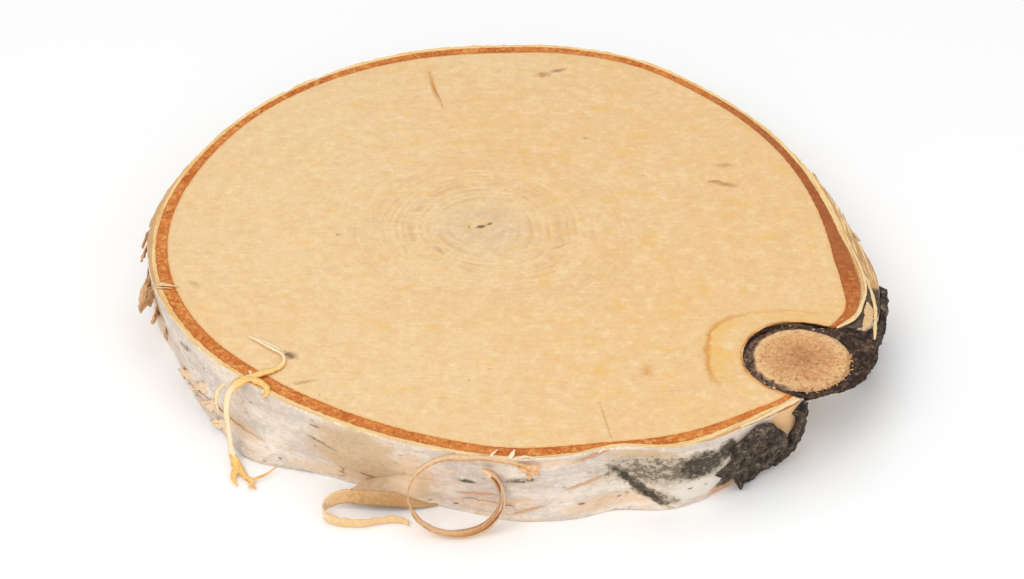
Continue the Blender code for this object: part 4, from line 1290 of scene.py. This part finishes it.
def lipPoints():
    middleX, middleY = branchMiddle(top)
    points = []
    for about in range(knotLip["from"], knotLip["to"] + 1, knotLip["step"]):
        radius = barkEdgeAt(about, top) + branch["clearance"] + knotLip["out"]
        turn = math.radians(about)
        x, y = middleX + radius * math.cos(turn), middleY + radius * math.sin(turn)
        if math.hypot(x, y) < woodEdge(math.degrees(math.atan2(y, x)), top) + knotLip["past"]:
            points.append((x, y, knotLip["height"]))
    return points


lipWidths = [(0, 0.3), (0.1, knotLip["width"]), (0.9, knotLip["width"]), (1, 0.3)]
lip = layRibbon(lipPoints(), lipWidths, seed=51.0)
sheets = [(lip, 240, 2, lambda u, v: 0.45 + 0.3 * math.sin(23 * u))]
makePeel("knotLip", sheets, "lip", "sawn_wood", thickness=0.16, ripple=0.05, size=3, seed=6)

# loose tongues: degrees at the root, height of the middle, how tall, how long, lift at the tip, drop
tongues = [
    (171, 23.4, 5, 8, 2.6, 3), (175.5, 22.4, 5, 9, 3.6, 4), (180.5, 23, 5, 6, 3.0, 4),
    (189, 21.6, 6, 8, 6.2, 5), (190.6, 18.6, 9, 7, 7.4, 3), (192.4, 14, 5, 6, 4.2, 3),
    (196.5, 12.0, 3, 5, 2.2, 2), (204, 7.6, 4, 6, 1.8, 2), (209.4, 9.0, 5, -7, 2.0, 2),
    (214.6, 11.4, 5, -8, 2.6, 2), (217.4, 7.4, 6, -7, 2.4, 1), (221, 4.4, 6, -8, 2.8, 1),
    (160, 22, 6, -10, 1.8, 2), (132, 24.6, 3, 15, 1.4, 1), (104, 24.8, 3, 16, 1.2, 0),
    (66, 23.6, 4, 12, 1.4, 1), (38, 24.6, 3, -14, 1.4, 1), (14, 25.6, 3, 8, 1.5, 0), (8, 22.6, 6, -9, 2.4, 1),
    (2, 25.4, 3, -7, 2.0, 0),
]


def layTongue(degrees, middle, tall, length, lift, drop, seed):
    def lay(u, v):
        narrow = (1 - 0.75 * u**2) * (1 + 0.7 * ragged(u + 0.4 * v, seed, 0.16))
        height = middle + tall * (v - 0.5) * narrow - drop * u**2 + 0.6 * ragged(v + u, seed + 3, 0.3)
        height = min(height, 27.2)
        root = reachOf(np.array([wallSpot(degrees, height)]))[0]
        turn = degrees + math.degrees(length * u * (1 + 0.4 * ragged(v, seed + 5, 0.2)) / root)
        return wallSpot(turn, height, lift * u**1.4 * 0.92 - 0.5 * (1 - u))

    return lay


# loose layers: sheets of paper bark that stand off the wall a little, with torn edges
layers = [  # degrees from, to, height from, to, lift at the first end, lift at the last end, raggedness
    (-168, -146, 5, 14, 0.5, 0.2, 1.8), (-149, -118, 1.0, 8.4, 0.7, 0.2, 0.7),
    (-97, -89, 3.0, 7.0, 0.1, 0.3, 1.0), (24, 46, 8, 24, 0.5, 1.4, 1.8),
    (54, 82, 3, 15, 1.2, 0.5, 1.8), (96, 120, 10, 24, 0.5, 1.5, 1.8),
    (124, 150, 2, 12, 1.3, 0.5, 1.8), (150, 176, 14, 25.5, 1.0, 0.5, 1.6), (176, 186, 4, 16, 0.5, 1.6, 1.6),
]


def layLayer(start, end, low, high, liftA, liftB, rough, seed):
    def lay(u, v):
        sway = 0.03 * ragged(v, seed, 0.15) * (1 if u > 0.5 else -1) * abs(2 * u - 1)
        rounded = min(1, 6 * u, 6 * (1 - u)) ** 0.5
        height = (low + high) / 2 + (high - low) * (v - 0.5) * (0.35 + 0.65 * rounded)
        height += rough * (0.7 * ragged(u, seed + 2, 0.12) + 0.4 * ragged(u, seed + 4, 0.04)) * (2 * v - 1)
        lift = (liftA * (1 - u) ** 2 + liftB * u**2) * (0.5 + abs(2 * v - 1) ** 2 * 0.5) + 0.02
        return wallSpot(start + (end - start) * (u + sway), min(max(height, 0.4), 27.0), lift)

    return lay


def paperValues(obj):  # the same patches as on the wall, so the layers match it
    spots = spotsOf(obj)
    levels = patchLevels(turnOf(spots), spots[:, 2])
    keepValues(obj, **{name: level * 0.8 for name, level in levels.items()})
    for name in ("cutFace", "rimDark", "rimAcross"):
        keepValues(obj, **{name: np.zeros(len(spots))})


sheets = []
for i, spot in enumerate(tongues):
    sheets.append((layTongue(*spot, 3.0 + i), 18, 10, 0.5 if 165 < spot[0] < 200 else -0.1))
makePeel("looseTongues", sheets, "flake", "paper_bark", thickness=0.45, ripple=1.0, size=3.5, seed=12)
sheets = [(layLayer(*spot, 20.0 + i), 60, 12, 0.0) for i, spot in enumerate(layers)]
paperValues(makePeel(
    "looseLayers", sheets, "paper", "paper_bark", thickness=0.25, ripple=0.7, size=5, seed=21))
paperValues(makePeel(
    "loopSkirt", loopSkirt, "paper", "paper_bark", thickness=0.3, ripple=0.7, size=6, seed=2))
print("loose bark made")


def makeScatterTree():  # a small shape on each point, turned to face out from the wall
    tree, given, give = newGroup("scatterTree", "GeometryNodeTree", {
        "points": geometry, "length": 0.004, "height": 0.0006, "depth": 0.0004, "bend": 0.0, "tilt": 0.2,
        "seed": 1, "material": materialIn}, {"scatter": geometry})
    ball = first(tree, "GeometryNodeMeshUVSphere", {"Segments": 8, "Rings": 5, "Radius": 0.5})
    along = first(tree, "GeometryNodeInputPosition").parts()[1]
    droop = first(tree, "ShaderNodeCombineXYZ", {0: along * along * given["bend"]})
    bent = first(tree, "GeometryNodeSetPosition", {"Geometry": ball, "Offset": droop})
    turn, size = [first(tree, "GeometryNodeInputNamedAttribute", {"Name": name}, data_type="FLOAT")
                  for name in ("turn", "size")]

    def chance(low, high, shift):
        seed = first(tree, "ShaderNodeMath", {0: given["seed"], 1: float(shift)}, operation="ADD")
        made = put(tree, "FunctionNodeRandomValue", {"Seed": seed, 2: low, 3: high}, data_type="FLOAT")
        return Wire(tree, made.outputs[1])

    spin = first(tree, "ShaderNodeCombineXYZ", {
        0: chance(-1.0, 1.0, 3) * given["tilt"], 1: chance(-1.0, 1.0, 5) * given["tilt"], 2: turn})
    scale = first(tree, "ShaderNodeCombineXYZ", {
        0: given["depth"], 1: given["length"] * chance(0.5, 1.3, 7), 2: given["height"]})
    placed = first(tree, "GeometryNodeInstanceOnPoints", {
        "Points": given["points"], "Instance": bent, "Rotation": spin, "Scale": scale * size})
    return give(scatter=finishTree(tree, placed, given["material"]))


scatterTree = makeScatterTree()


def scatter(name, points, look, slot, **values):  # points: place, turn in radians, size
    places, turns, sizes = zip(*points)
    mesh = bpy.data.meshes.new(name)
    mesh.from_pydata((np.array(places) * mm).tolist(), [], [])
    obj = newObject(name, mesh)
    keepValues(obj, turn=turns, size=sizes)
    growWith(obj, scatterTree, {**values, "material": looks[look]})
    dressPiece(obj, None, slot)


dice = np.random.default_rng(41)


def inBay(x, y, height, room=1.5):
    middleX, middleY = branchMiddle(height)
    about = math.degrees(math.atan2(y - middleY, x - middleX))
    return math.hypot(x - middleX, y - middleY) < barkEdgeAt(about, height) + room


def nearCrust(degrees):
    wrapped = degrees % 360
    return 299 < wrapped < 321 or 331 < wrapped < 354


def lenticelPoints(count):
    points = []
    while len(points) < count:
        degrees, height, size = dice.uniform(0, 360), dice.uniform(2, 25), dice.uniform(0.5, 1.2)
        if nearCrust(degrees) or 186 < degrees < 299 and dice.uniform() < 0.85:
            continue
        points.append((wallSpot(degrees, height, -0.1), math.radians(degrees), size))
    return points


def rimScrapPoints(count):
    points = []
    while len(points) < count:
        degrees = dice.uniform(0, 360)
        height = dice.choice([26.6, 26.9, 0.8])
        spot = wallSpot(degrees, height, -0.3)
        if nearCrust(degrees) or inBay(spot.x, spot.y, height):
            continue
        points.append((spot, math.radians(degrees + dice.uniform(-25, 25)), dice.uniform(0.4, 1.2)))
    return points


def fibrePoints(count):  # torn fibres on the rough outer side of the branch
    x, y = branchMiddle(top)
    points = []
    for _ in range(count):
        turn = math.radians(dice.uniform(-100, 15))
        radius = stubEdge(top) * dice.uniform(0.82, 1.04)
        spot = Vector((x + radius * math.cos(turn), y + radius * math.sin(turn), dice.uniform(26.5, 27.1)))
        points.append((spot, turn + dice.uniform(-1.6, 1.6), dice.uniform(0.4, 1.1)))
    return points


scatter(
    "lenticels", lenticelPoints(120), "lenticel", "paper_bark",
    length=4.2 * mm, height=0.5 * mm, depth=0.5 * mm, bend=0.0, tilt=0.06, seed=3)
scatter(
    "rimScraps", rimScrapPoints(260), "cream", "paper_bark",
    length=2.4 * mm, height=0.8 * mm, depth=0.35 * mm, bend=1.6, tilt=0.6, seed=9)
scatter(
    "branchFibres", fibrePoints(130), "fibre", "branch_wood",
    length=2.2 * mm, height=0.45 * mm, depth=0.4 * mm, bend=0.8, tilt=0.7, seed=15)
print("small parts made")

studio = {
    "floor": 10.0, "floorTone": (0.99, 0.99, 0.99, 1), "below": -0.0001, "sky": 0.55,
    "lens": 85, "target": (1.3, -17.6, 13.5), "elevation": 38, "distance": 870,
    "lights": [  # name, place in metres, power, size
        ("keyLight", (-0.5, -0.7, 1.1), 6.75, 0.9), ("fillLight", (0.8, -0.5, 0.8), 1.9, 1.0),
        ("topLight", (0.1, 0.5, 1.2), 3.2, 1.0), ("frontLight", (-0.2, -1.4, 0.32), 4.3, 1.0)],
}


def aim(obj, spot, backward):
    obj.location = spot
    obj.rotation_euler = (-backward).to_track_quat("-Z", "Y").to_euler()


def makeStudio():
    scene = bpy.context.scene
    half, below = studio["floor"] / 2, studio["below"]
    mesh = bpy.data.meshes.new("floor")
    corners = [(-half, -half, below), (half, -half, below), (half, half, below), (-half, half, below)]
    mesh.from_pydata(corners, [], [[0, 1, 2, 3]])
    material = bpy.data.materials.new("paleFloor")
    material.use_nodes = True
    shader = material.node_tree.nodes["Principled BSDF"].inputs
    shader["Base Color"].default_value = studio["floorTone"]
    shader["Roughness"].default_value = 0.9
    mesh.materials.append(material)
    newObject("floor", mesh)

    scene.world = bpy.data.worlds.new("softStudio")
    scene.world.use_nodes = True
    sky = scene.world.node_tree.nodes["Background"].inputs
    sky["Color"].default_value = (1, 1, 1, 1)
    sky["Strength"].default_value = studio["sky"]

    for name, spot, power, size in studio["lights"]:
        lamp = bpy.data.lights.new(name, "AREA")
        lamp.energy = power
        lamp.size = size
        aim(newObject(name, lamp), spot, Vector(spot))

    lens = bpy.data.cameras.new("camera")
    lens.lens = studio["lens"]
    lens.sensor_width = 36
    lens.clip_start = 0.05
    lens.clip_end = 20
    rise = math.radians(studio["elevation"])
    back = Vector((0, -math.cos(rise), math.sin(rise)))
    scene.camera = newObject("camera", lens)
    aim(scene.camera, (Vector(studio["target"]) + back * studio["distance"]) * mm, back)
    scene.view_settings.view_transform = "Standard"
    scene.view_settings.look = "None"


makeStudio()
print("studio made")
